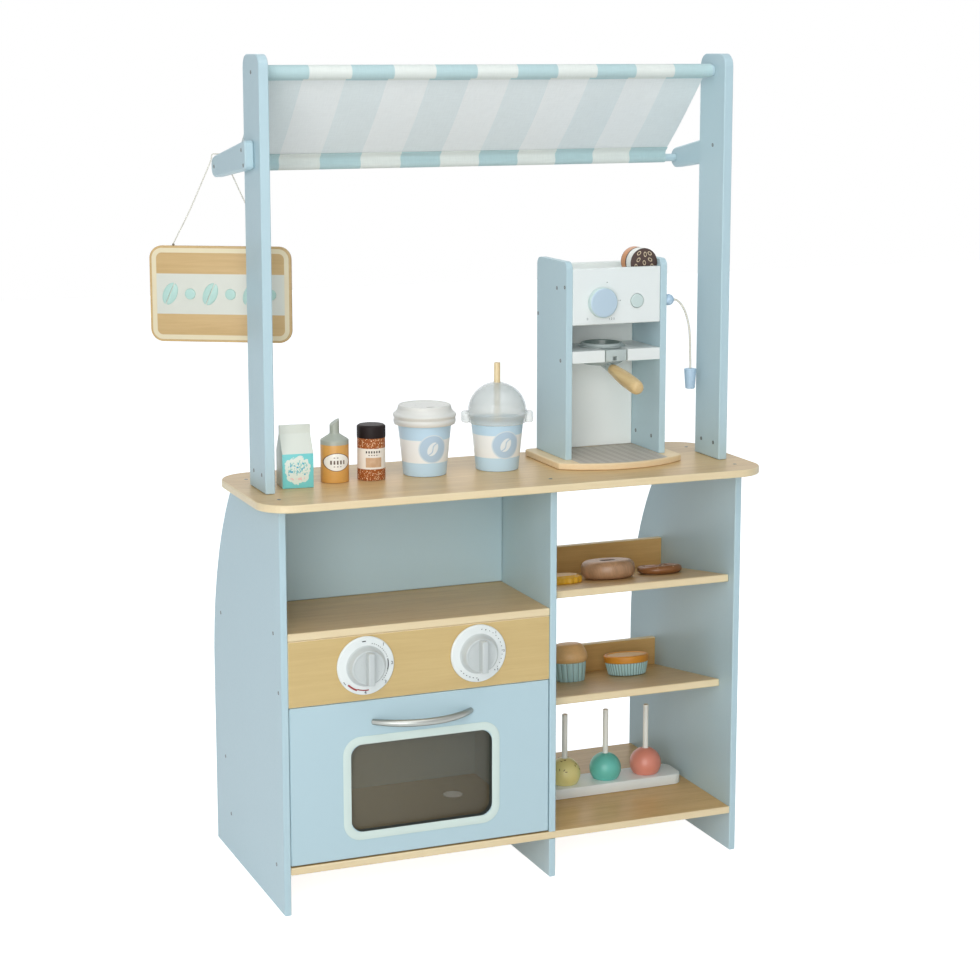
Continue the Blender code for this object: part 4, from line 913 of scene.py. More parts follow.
class COFFEESHOP_OT_oven(bpy.types.Operator):
    """Add the oven's knobs with their printed marks, the window's trim and the handle"""
    bl_idname = "coffee_shop.oven"
    bl_label = "Oven"

    def execute(self, context):
        self.trim()
        self.handle()
        for side in ("left", "right"):
            self.knob(side)
        dress(self.smoked(), "window_pane")
        dress(self.door_paint_with_painted_shadow(), "oven_door")
        return {"FINISHED"}

    def smoked(self):
        """A dark, glossy and partly clear pane, painted lighter towards its left side as a painted
        reflection.
        """
        material, graph, shader, place = new_material("Smoked pane", Alpha=0.35, IOR=1.45)
        haze = graph.noise(place, 14.0, 3.0)
        low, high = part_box("window_pane")
        # Painted reflection: the pane's colour is lighter at its left end and darker at its right.
        across = graph.between(graph.axes(place)[0], low.x, high.x, 0.55, -0.22)
        tone = graph.plus(across, 0.93, graph.times(haze, 0.12))
        graph.feed(shader, "Base Color", graph.shaded(tuple(colours().pane), tone))
        graph.feed(shader, "Roughness", graph.between(haze, 0.3, 0.7, 0.06, 0.10))
        return material

    def trim(self):
        """A flat white rim round the window, with rounded corners."""
        size = sizes()
        pane = middle("window_pane")
        width, height, corner = 0.213, 0.136, 0.0235
        piece = begin("window_trim", bpy.ops.mesh.primitive_plane_add, size=1)
        piece.scale = (width, height, 1)
        apply_place(piece)
        with editing(piece):
            bpy.ops.mesh.select_all(action="SELECT")
            bpy.ops.mesh.bevel(offset=corner, segments=10, affect="VERTICES")
            pick_faces(piece, lambda centre, normal: True)
            bpy.ops.mesh.inset(thickness=size.trim, depth=0)
            bpy.ops.mesh.delete(type="FACE")
            bpy.ops.mesh.select_all(action="SELECT")
            bpy.ops.mesh.extrude_region_move(TRANSFORM_OT_translate={"value": (0, 0, size.trim_rise)})
            bpy.ops.mesh.select_all(action="SELECT")
            bpy.ops.mesh.normals_make_consistent(inside=False)
        soften(piece, 0.0003, 2, 50)
        settle(piece, (pane.x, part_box("oven_door")[0].y, pane.z), OUTWARD)
        finish(piece, "door", "white_paint", painted("Window trim", srgb(214, 228, 220), 0.4))

    def door_paint_with_painted_shadow(self):
        """The panels' blue, with painted shadow on the wall of the window's opening."""
        low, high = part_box("window_pane")
        half = (high - low) / 2 + Vector((0.001, 0.001, 0.001))

        def build(graph, place):
            x, _, z = graph.axes(graph.local(place, (low + high) / 2))
            wall = graph.under(graph.math("ABSOLUTE", graph.axes(graph.normal())[1]), 0.3, 0.5)
            inside = graph.times(graph.band(x, -half.x, half.x), graph.band(z, -half.z, half.z))
            # Painted shadow: the opening's wall is nearly black instead of the door's blue.
            return graph.mix(graph.times(wall, inside), colours().blue, srgb(56, 62, 59))
        return painted_over("Door paint", build)

    def handle(self):
        """A bowed bar of satin metal, slimmer towards its ends on the door."""
        low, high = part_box("door_handle")
        radius = (high.z - low.z) / 2
        span = (high.x - low.x) / 2 - radius
        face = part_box("oven_door")[0].y
        bow = face - low.y - radius
        curve = (span ** 2 + bow ** 2) / (2 * bow)
        reach = math.asin(span / curve)
        centre, steps = middle("door_handle"), 40
        route = []
        for i in range(steps + 1):
            angle = reach * (2 * i / steps - 1)
            route.append(Vector((centre.x + curve * math.sin(angle),
                                 face - bow + curve * (1 - math.cos(angle)) - GAP, centre.z)))
        bar = as_mesh(tube("oven_handle", route, radius, 8, lambda t: 1.08 - 0.24 * abs(2 * t - 1) ** 4))
        metal, graph, shader, place = new_material("Satin metal", Metallic=1.0, Base_Color=colours().metal)
        lines = graph.noise(graph.scaled(place, (30.0, 1500.0, 1500.0)), 1.0, 3.0)
        graph.feed(shader, "Roughness", graph.between(lines, 0.3, 0.7, 0.30, 0.42))
        relief(graph, shader, lines, 0.08, 0.0001)
        finish(bar, "door", "metal", metal, "door_handle")

    def knob(self, side):
        node = side + "_oven_knob"
        place = middle(node)
        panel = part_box("control_panel")[0].y
        low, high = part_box(node)
        radius = (high.x - low.x) / 2
        back, rise, shaft = high.y - panel, panel - low.y, 0.0044
        profile = fillet([(0, -back), (shaft, -back), (shaft, GAP), (radius - 0.0004, GAP), (radius, 0.0026),
                          (radius - 0.0012, 0.0042), (0.0262, SKIRT_TOP), (0.0246, 0.0062), (0.0222, 0.0150),
                          (0.0206, 0.0163), (0.0186, 0.0156), (0, 0.0154)], 0.0010, 3)
        skirt = spun("knob_body", profile)
        bar = block("knob_bar", (-0.0043, -0.0206, 0.010), (0.0043, 0.0206, rise), 0.0013, 3)
        knob = join(side + "_knob", [skirt, bar])
        settle(knob, (place.x, panel, place.z), OUTWARD)

        def build(graph, coords):
            height = graph.axes(graph.local(coords, (place.x, panel, place.z), OUTWARD))[2]
            raised = graph.between(height, SKIRT_TOP, SKIRT_TOP + 0.0004)
            return graph.mix(raised, colours().white, srgb(198, 203, 201))
        satin = painted_over("Knob " + side, build, 0.32, 0.015, 0.08, Coat_Weight=0.2)
        finish(knob, side + "_knob", "white_paint", satin, node)
        self.marks(side, place, panel)

    def marks(self, side, place, panel):
        """Printed numbers, dots and arcs on the knob's skirt, at angles in degrees."""
        top, ring, numbers = SKIRT_TOP, 0.0295, 0.0346
        black, red = [], []
        if side == "right":
            for start in range(-48, 92, 10):
                wide = 0.0007 if start in (-48, 72) else 0.0004
                black.append(ribbon("dot", 0.0320 - wide, 0.0320 + wide, start, start + 2, top))
            for start in range(-142, -96, 9):
                black.append(ribbon("dot", 0.0315, 0.0323, start, start + 3, top))
        else:
            black.append(ribbon("dash", 0.0314, 0.0326, 90, 99, top))
            for start in list(range(18, 76, 6)) + list(range(-44, -18, 6)):
                black.append(ribbon("dot", ring - 0.0003, ring + 0.0003, start, start + 3, top))
            black.append(ribbon("arc", ring - 0.0006, ring + 0.0006, -15, 13, top))
            red.append(ribbon("arc", 0.0316, 0.0338, -137, -112, top))
            red.append(ribbon("arc", 0.0308, 0.0322, -112, -84, top))
            black.append(ribbon("dash", 0.0345, 0.0353, -149, -141, top))
        for number, angle in (("1", 48), ("2", 1), ("3", -42), ("4", -92)):
            turn = math.radians(angle)
            spot = (numbers * math.cos(turn), numbers * math.sin(turn), top)
            black.append(lettering("number", number, 0.0058 if side == "left" else 0.0042, spot))
        for parts, ink in ((black, "black"), (red, "red")):
            if parts:
                piece = join(f"{side}_knob_{ink}_marks", parts)
                settle(piece, (place.x, panel, place.z), OUTWARD)
                finish(piece, side + "_knob", "white_paint", FINISH[ink])


# ---- awning and sign -------------------------------------------------------------------------------------

class COFFEESHOP_OT_awning(bpy.types.Operator):
    """Add the striped cloth of the awning"""
    bl_idname = "coffee_shop.awning"
    bl_label = "Awning"

    def execute(self, context):
        cloth, sag, spans = 0.0009, 0.005, 16
        top, low = self.rod("awning_top_rod"), self.rod("awning_lower_rod")
        run = low[0] - top[0]
        length = run.length
        fall = run / length
        out = Vector((-fall.y, fall.x))
        top_loop, low_loop = (rod[1] + GAP + 0.00055 for rod in (top, low))

        def sheet(along):
            t = along / length
            return top_loop + (low_loop - top_loop) * t - sag * 4 * t * (1 - t)

        near = [Vector(pair) for pair in self.loop(top_loop, sheet)]
        free = [Vector((length * i / spans, sheet(length * i / spans))) for i in range(1, spans)]
        far = [Vector((length - along, height))
               for along, height in self.loop(low_loop, lambda back: sheet(length - back))]
        route = smooth_route(near + free + far[::-1], 4)
        left, right = (corner.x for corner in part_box("awning_canopy"))
        piece = self.woven(route, left, right, top[0], fall, out, (length, sag))
        take(piece)
        thick = piece.modifiers.new("Cloth", "SOLIDIFY")
        thick.thickness = cloth
        thick.offset = 0
        bpy.ops.object.modifier_apply(modifier=thick.name)
        smooth(piece, 60)
        hems = (run_length(near[:-1]), run_length(route) - run_length(far))
        finish(piece, "cabinet", "striped_cloth", self.striped(left, right, fall, hems), "awning_canopy")
        return {"FINISHED"}

    def rod(self, node):
        """A rod's centre in Y and Z, and its radius."""
        low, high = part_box(node)
        return Vector(((low.y + high.y) / 2, (low.z + high.z) / 2)), (high.z - low.z) / 2

    def loop(self, radius, sheet):
        """A hem and the loop round a rod, as (distance from the rod, height over the rods' line)."""
        lap = 0.0017
        hem = [(radius + reach, sheet(radius + reach) - lap - dip)
               for reach, dip in ((0.0120, 0.0), (0.0050, 0.0), (0.0018, 0.0016))]
        return hem + curve_arc((0, 0), radius, 350, 84, 11)

    def woven(self, route, left, right, start, fall, out, shape):
        """The cloth's own grid, with soft folds between the rods and a UV map in metres."""
        length, sag = shape
        columns = 150
        wide = right - left
        travelled = [0.0]
        for a, b in zip(route, route[1:]):
            travelled.append(travelled[-1] + (b - a).length)
        points, faces, places = [], [], []
        for j, spot in enumerate(route):
            free = max(0.0, math.sin(math.pi * min(max(spot.x / length, 0), 1))) if spot.y > 0 else 0.0
            for i in range(columns + 1):
                x = left + wide * i / columns
                ripple = free * sag * (0.30 * noise.noise(Vector((x * 9, spot.x * 5, 0.3)))
                                       + 0.16 * noise.noise(Vector((x * 31, spot.x * 7, 4.1))))
                pull = free * 0.0016 * math.cos(math.pi * (x - left) / wide) ** 8
                spread = start + fall * spot.x + out * (spot.y + ripple * 0.9 + pull)
                points.append((x, spread.x, spread.y))
                places.append((x, travelled[j]))
        for j in range(len(route) - 1):
            for i in range(columns):
                a = j * (columns + 1) + i
                faces.append((a, a + 1, a + columns + 2, a + columns + 1))
        mesh = bpy.data.meshes.new("awning_cloth")
        mesh.from_pydata(points, [], faces)
        layer = mesh.uv_layers.new(name="UVMap")
        for loop in mesh.loops:
            layer.data[loop.index].uv = places[loop.vertex_index]
        piece = bpy.data.objects.new("awning_cloth", mesh)
        bpy.context.scene.collection.objects.link(piece)
        return piece

    def striped(self, left, right, fall, hems):
        """Wide printed stripes on a plain weave, full on the two hems. The stripes on the inner face fade as
        painted light shining through the cloth, and on the rolled hems the white is painted greyer and the
        blue paler, painted shading that softens the roll's light and shade.
        """
        paint, stripe, lit_through_ink = colours(), (right - left) / 11, 0.17
        material, graph, shader, place = new_material("Striped cloth", Roughness=0.9, Sheen_Weight=0.15)
        along = graph.math("DIVIDE", graph.math("SUBTRACT", graph.axes(place)[0], left), stripe)
        blue = graph.between(graph.math("SINE", graph.times(along, math.pi)), -0.02, 0.02)
        facing = graph.vector("DOT_PRODUCT", graph.normal(), (0.0, -fall.y, fall.x))
        # Painted light: on the inner face the stripes fade, as if light shone through the cloth.
        ink = graph.times(blue, graph.between(facing, -0.1, 0.1, lit_through_ink, 1.0))
        unrolled = graph.put("ShaderNodeTexCoord").outputs["UV"]
        weave = graph.group("Cloth weave", Vector=unrolled, Pitch=sizes().weave)
        middle = graph.band(graph.axes(unrolled)[1], hems[0], hems[1])
        # Painted shading: on the rolled hems the white is greyer and the blue paler than on the open cloth,
        # softening the roll's light and shade.
        hem_shading_tint = graph.mix(blue, srgb(234, 238, 231), srgb(190, 216, 217))
        tint = graph.mix(middle, hem_shading_tint, graph.mix(ink, paint.cloth, paint.stripe))
        graph.feed(shader, "Base Color", graph.shaded(tint, weave["Shade"]))
        relief(graph, shader, weave["Height"], 0.35, 0.0003)
        return material


class COFFEESHOP_OT_sign(bpy.types.Operator):
    """Add the hanging sign, its raised beans and its string"""
    bl_idname = "coffee_shop.sign"
    bl_label = "Hanging sign"

    def execute(self, context):
        low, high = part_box("sign_board")
        centre = (low + high) / 2
        width, height, thick, corner = 0.186, high.z - low.z, 0.006, 0.0165
        board = settle(plate("sign", width, height, thick, corner), centre, ON_SIGN)
        finish(board, "sign", "beech", self.painted_face(centre, width, height), "sign_board")
        self.beans(centre, thick)
        self.string(centre, high.z)
        return {"FINISHED"}

    def painted_face(self, centre, width, height):
        """Tan bands and border, a cream line and a white band across the middle."""
        def build(graph, place):
            border, line = 0.006, 0.003
            flat = graph.local(place, centre, ON_SIGN)
            half = (width / 2 - border, 1.0, height / 2 - border)
            reach = graph.group("Rounded outline", Vector=flat, Half_size=half, Corner=0.0105)["Distance"]
            white_band = graph.band(graph.axes(flat)[2], -0.026, 0.026, 0.0003)
            wood = graph.wood(flat, srgb(206, 174, 122), srgb(193, 159, 106), 0.8, 0.2)["Colour"]
            tint = graph.mix(white_band, wood, srgb(214, 214, 202))
            tint = graph.mix(graph.between(reach, -line, 0.0004 - line), tint, wood)
            return graph.mix(graph.band(reach, -line, line), tint, srgb(228, 214, 180))
        return painted_over("Sign paint", build, 0.45)

    def beans(self, centre, thick):
        """A row of raised coffee beans and dots on both faces."""
        parts = []
        count, pitch = 6, 0.0265
        dot_profile = fillet([(0, 0), (0.0072, 0), (0.0066, 0.0016), (0, 0.0020)], 0.0005)
        for face in (-1, 1):
            for index in range(count):
                x = (index - (count - 1) / 2) * pitch
                if index % 2 == 0:
                    parts += self.bean(x, face, thick)
                else:
                    dot = spun("dot", dot_profile, 40)
                    parts.append(settle(dot, (x, face * thick / 2, 0), (-face * math.pi / 2, 0, 0)))
        piece = settle(join("sign_beans", parts), centre, ON_SIGN)
        finish(piece, "sign", "lid_white", painted("Mint paint", colours().mint, 0.4))

    def bean(self, x, face, thick):
        """Two halves of a bean with a groove between them."""
        halves = []
        for side in (-1, 1):
            half = begin("bean", bpy.ops.mesh.primitive_uv_sphere_add, segments=28, ring_count=16,
                         radius=0.0104)
            with editing(half):
                bpy.ops.mesh.select_all(action="SELECT")
                bpy.ops.mesh.bisect(plane_co=(side * 0.0009, 0, 0), plane_no=(side, 0, 0), use_fill=True,
                                    clear_inner=True)
            half.scale = (0.90, 0.20, 1.45)
            smooth(half)
            halves.append(settle(half, (x, face * (thick / 2 - 0.0002), 0), (0, math.radians(24), 0)))
        return halves

    def string(self, centre, top):
        """One string, laid over the arm and knotted in the board's two holes."""
        across = Vector((math.cos(SIGN_TURN), math.sin(SIGN_TURN), 0))
        radius, hole, arm = 0.0008, 0.0615, 0.0084
        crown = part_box("sign_string")[1].z - radius
        drop = top - crown
        right = [(0, 0), (arm * 0.8, 0), (arm * 1.04, -0.0025), (arm * 1.10, -0.006), (arm * 1.45, -0.014),
                 (hole * 0.62, drop * 0.60), (hole * 0.97, drop * 0.95), (hole, drop + 0.002),
                 (hole, drop - 0.006)]
        left = [(-x, z) for x, z in right[:0:-1]]
        route = smooth_route([Vector((centre.x, centre.y, crown)) + across * x + Vector((0, 0, z))
                              for x, z in left + right], 6)
        piece = tube("sign_string_cord", route, radius, 4)
        finish(piece, "sign", "string", FINISH["cord"], "sign_string")
        knots = []
        for side in (-1, 1):
            knot = begin("knot", bpy.ops.mesh.primitive_uv_sphere_add, segments=16, ring_count=10,
                         radius=0.0017)
            smooth(knot)
            knots.append(settle(knot, Vector((centre.x, centre.y, top + 0.0011)) + across * side * hole))
        # The knots are painted dark grey-brown as painted shade, where the string goes into the board's
        # holes.
        finish(join("sign_knots", knots), "sign", "string", painted("Knot in painted shade", srgb(116, 104, 88), 0.6))


# ---- coffee machine --------------------------------------------------------------------------------------

class COFFEESHOP_OT_machine(bpy.types.Operator):
    """Add the play coffee machine's dial, button, portafilter, pods and milk nozzle"""
    bl_idname = "coffee_shop.machine"
    bl_label = "Coffee machine"

    def execute(self, context):
        self.wand()
        self.base()
        self.controls()
        self.portafilter()
        self.pods()
        return {"FINISHED"}

    def base(self):
        """Pale wood, with a woven pattern printed between the side boards."""
        inner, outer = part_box("machine_left_side")[1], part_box("machine_right_side")[0]
        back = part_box("machine_back")[0].y
        low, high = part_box("machine_base")
        centre = Vector(((inner.x + outer.x) / 2, 0, 0))

        def build(graph, place):
            wood = graph.wood(place, srgb(240, 215, 174), srgb(226, 196, 152), 0.5, 0.2)["Colour"]
            x, y, z = graph.axes(graph.local(place, centre))
            curve = graph.plus(y, graph.times(graph.math("POWER", x, 2.0), -3.5))
            half = (outer.x - inner.x) / 2
            mat = graph.times(graph.band(x, -half, half), graph.band(curve, low.y + 0.0050, back),
                              graph.between(z, high.z - 0.0004, high.z - 0.0002))
            lattice = []
            for sign in (1, -1):
                slant = graph.plus(x, graph.times(y, 1.7 * sign))
                lattice.append(graph.math("SINE", graph.times(slant, math.tau / 0.027)))
            check = graph.between(graph.times(*lattice), -0.2, 0.2)
            grains = graph.noise(place, 700.0, 2.0)
            tone = graph.between(grains, 0.3, 0.7, 0.0, 0.35)
            share = graph.plus(graph.times(check, 0.65), tone, clamp=True)
            return graph.mix(mat, wood, graph.mix(share, srgb(176, 163, 150), srgb(204, 195, 182)))
        dress(painted_over("Machine base", build, 0.5), "machine_base")

    def controls(self):
        """The dial with its printed marks, and the button with its flange behind the panel."""
        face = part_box("machine_front_panel")[0].y
        dial, button = middle("machine_dial"), middle("brew_button")
        low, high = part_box("machine_dial")
        rise, back = face - low.y, high.y - face
        shaft, disc = 0.0038, 0.0200
        profile = fillet([(0, -back), (shaft, -back), (shaft, GAP), (disc - 0.0006, GAP), (disc, 0.0014),
                          (disc, rise - 0.0018), (disc - 0.0018, rise), (0, rise)], 0.0012, 4)
        piece = settle(spun("machine_dial_disc", profile), (dial.x, face, dial.z), OUTWARD)

        def build(graph, place):
            depth = graph.axes(graph.local(place, (dial.x, face, dial.z)))[1]
            # Painted highlight: the dial's side is pale mint, lighter than its blue face, standing in for a
            # highlight round the rim.
            top = graph.under(depth, 0.0006 - rise, 0.0010 - rise)
            return graph.mix(top, srgb(200, 218, 216), srgb(186, 205, 218))
        finish(piece, "dial", "blue_paint", painted_over("Dial paint", build, 0.4), "machine_dial")

        low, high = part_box("brew_button")
        rise, back = face - low.y, high.y - face
        flange, ledge, cap = (high.x - low.x) / 2, 0.003 - back, 0.0091
        profile = fillet([(0, -back), (flange, -back), (flange, ledge), (cap, ledge), (cap, rise - 0.0008),
                          (cap - 0.0007, rise), (0, rise)], 0.0006, 3)
        piece = settle(spun("brew_button_cap", profile, 64), (button.x, face, button.z), OUTWARD)
        paint = painted("Button paint", srgb(202, 217, 213), 0.4)
        finish(piece, "button", "white_paint", paint, "brew_button")

        marks = [lettering(name, mark, size, (x, y, 0))
                 for name, mark, size, x, y in (("dot", ".", 0.012, 0.008, 0.029),
                                                ("dots", "..", 0.010, 0.0265, 0.004),
                                                ("scale", "1 2 3", 0.0042, 0.015, -0.0225),
                                                ("off", "0", 0.0046, -0.020, -0.0215))]
        piece = settle(join("dial_marks", marks), (dial.x, face, dial.z), OUTWARD)
        finish(piece, "machine", "white_paint", FINISH["grey"])

    def portafilter(self):
        """A grey basket with a block in the keyhole slot, and a neck that carries the wooden grip."""
        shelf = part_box("filter_shelf")
        top, depth = shelf[1].z, shelf[1].z - shelf[0].z
        low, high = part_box("portafilter_basket")
        flange, wall, floor = 0.0323, 0.0297, -0.0160
        centre = Vector(((low.x + high.x) / 2, high.y - flange, top))
        profile = fillet([(0, -0.0240), (0.0240, -0.0240), (wall, -0.0200), (wall, GAP), (flange, GAP),
                          (0.0320, 0.0015), (0.0284, 0.0017), (0.0276, 0.0046), (0.0262, 0.0054),
                          (0.0246, 0.0048), (0.0224, -0.0140), (0.0200, floor), (0, floor)], 0.0008, 3)
        bowl = settle(spun("portafilter_bowl", profile), centre)
        block_front = shelf[0].y + 0.0004
        body = block("portafilter_block", (centre.x - 0.0148, block_front, top - depth),
                     (centre.x + 0.0148, centre.y - 0.0262, top - GAP), 0.0006)
        cut = block("portafilter_keyway", (centre.x - 0.0050, block_front - 0.01, top - 0.0142),
                    (centre.x + 0.0010, block_front + 0.008, top - 0.0088), 0)
        carve(body, cut)
        start = centre + Vector((0, -0.010, -0.0226))
        tilt = (math.pi / 2 + HANDLE_TILT, 0, 0)
        thin, long = 0.0062, 0.0255
        neck = spun("portafilter_neck", fillet([(0, 0), (thin, 0), (thin, long), (0, long)], 0.0008), 48)
        settle(neck, start, tilt)

        def build(graph, place):
            flat = graph.local(place, centre)
            # Painted shade: the inside of the bowl is a darker grey-green than its rim.
            inside = graph.times(graph.under(graph.reach(flat), 0.0250, 0.0254),
                                 graph.between(graph.axes(flat)[2], floor - 0.0010, floor - 0.0005))
            return graph.mix(inside, colours().portafilter, srgb(132, 148, 142))
        finish(join("portafilter", [bowl, body, neck]), "portafilter", "grey_paint",
               painted_over("Grey paint", build, 0.34, 0.02, 0.05, Coat_Weight=0.2), "portafilter_basket")

        run = Vector((0, -math.cos(HANDLE_TILT), -math.sin(HANDLE_TILT)))
        profile = [(0, 0), (thin, 0), (0.0070, 0.0010), (0.0080, 0.012), (0.0091, 0.026), (0.0098, 0.042),
                   (0.0098, 0.066), (0.0096, 0.0725), (0.0088, 0.0770), (0.0073, 0.0800), (0.0050, 0.0816),
                   (0, 0.0820)]
        grip = spun("portafilter_grip", [tuple(p) for p in smooth_route([Vector(p) for p in profile], 3)], 64)
        settle(grip, start + run * (long + GAP), tilt)
        wood = grained("Grip wood", srgb(218, 190, 138), srgb(200, 166, 112), 0.6, 0.2,
                       turn=(0, 0, math.pi / 2))
        finish(grip, "portafilter", "beech", wood, "portafilter_handle")

    def pods(self):
        """Two pods on edge: a white and an orange band, and dark faces with pale beans."""
        for node, body, band, dark in (("front_pod", "pod_in_front", srgb(236, 234, 226), 0.0004),
                                       ("back_pod", "pod_behind", srgb(204, 136, 84), 0.0016)):
            low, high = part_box(node)
            radius, thick = (high.x - low.x) / 2, high.y - low.y
            centre = (low + high) / 2
            profile = fillet([(0, 0), (radius, 0), (radius, thick), (0, thick)], 0.0013, 3)
            piece = settle(spun(node + "_disc", profile, 80), (centre.x, high.y, centre.z), OUTWARD)

            def build(graph, place):
                depth = graph.axes(graph.local(place, centre))[1]
                side = graph.band(depth, 0.0016 - thick / 2, thick / 2 - dark)
                grains = graph.noise(place, 500.0, 3.0)
                brown = graph.mix(grains, colours().pod, toned(colours().pod, 1.5))
                return graph.mix(side, brown, band)
            finish(piece, body, "coffee_brown", painted_over(node + " print", build, 0.4), node)
            if node == "front_pod":
                self.pod_beans(centre, low.y, body)

    def pod_beans(self, centre, face, body):
        """Printed outlines of beans on the front pod."""
        parts = []
        for x, z, turn in ((0, 0, 0.2), (0.0085, 0.004, 1.0), (-0.0085, 0.0042, -0.7),
                           (0.0052, -0.0078, -0.5), (-0.0052, -0.0082, 0.7), (0.0012, 0.0112, 0.1),
                           (0.0115, -0.0048, 0.3), (-0.0120, -0.0045, 0.1), (0.0078, 0.0122, 0.9),
                           (-0.0078, 0.0128, -0.9), (0.0006, -0.0150, 1.4)):
            ring = begin("bean_print", bpy.ops.mesh.primitive_torus_add, major_radius=0.0023,
                         minor_radius=0.00045, major_segments=20, minor_segments=6)
            ring.scale = (0.80, 1.25, 0.4)
            parts.append(settle(ring, (x, z, 0), (0, 0, turn)))
        piece = settle(join("pod_beans", parts), (centre.x, face - 0.00005, centre.z), OUTWARD)
        finish(piece, body, "coffee_brown", painted("Bean print", srgb(216, 196, 164), 0.5, 0.0))

    def wand(self):
        """A bead on the machine's side, a short hanging cord and the milk nozzle at its end."""
        low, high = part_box("wand_socket")
        centre = (low + high) / 2
        radius, reach = (high.z - low.z) / 2, high.x - low.x
        profile = [(0, 0), (radius * 0.72, 0)] + curve_arc((0, radius * 0.72), radius, -32, 60, 10)
        profile += [(radius * 0.30, reach * 0.985), (0.0016, reach), (0, reach)]
        bead = settle(spun("wand_bead", profile, 56), (low.x, centre.y, centre.z), (0, math.pi / 2, 0))
        paint = painted("Bead paint", srgb(178, 203, 222), 0.38)
        finish(bead, "machine", "blue_paint", paint, "wand_socket")

        start = Vector((high.x + GAP, centre.y, centre.z))
        steps = ((0, 0), (0.0040, -0.0006), (0.0102, -0.0052), (0.0162, -0.0140), (0.0208, -0.0255),
                 (0.0243, -0.0400), (0.0258, -0.0560), (0.0262, -0.0720), (0.0268, -0.0860),
                 (0.0268, -0.0938))
        route = smooth_route([start + Vector((x, 0, z)) for x, z in steps], 4)
        thick = 0.0031
        cord = tube("wand_cord_line", route, thick / 2, 4)

        low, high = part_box("wand_nozzle")
        tall, wide = high.z - low.z, (high.x - low.x) / 2
        profile = fillet([(0, 0.004), (0.0030, 0.004), (0.0034, 0.0004), (0.0054, 0), (0.0064, 0.0008),
                          (wide, tall - 0.0010), (wide - 0.0010, tall), (0, tall)], 0.0006, 3)
        nozzle = settle(spun("milk_nozzle", profile, 56), foot("wand_nozzle"))
        finish(nozzle, "machine", "blue_paint", paint, "wand_nozzle")
        finish(cord, "machine", "string", FINISH["cord"], "wand_cord")


# ---- goods on the counter --------------------------------------------------------------------------------

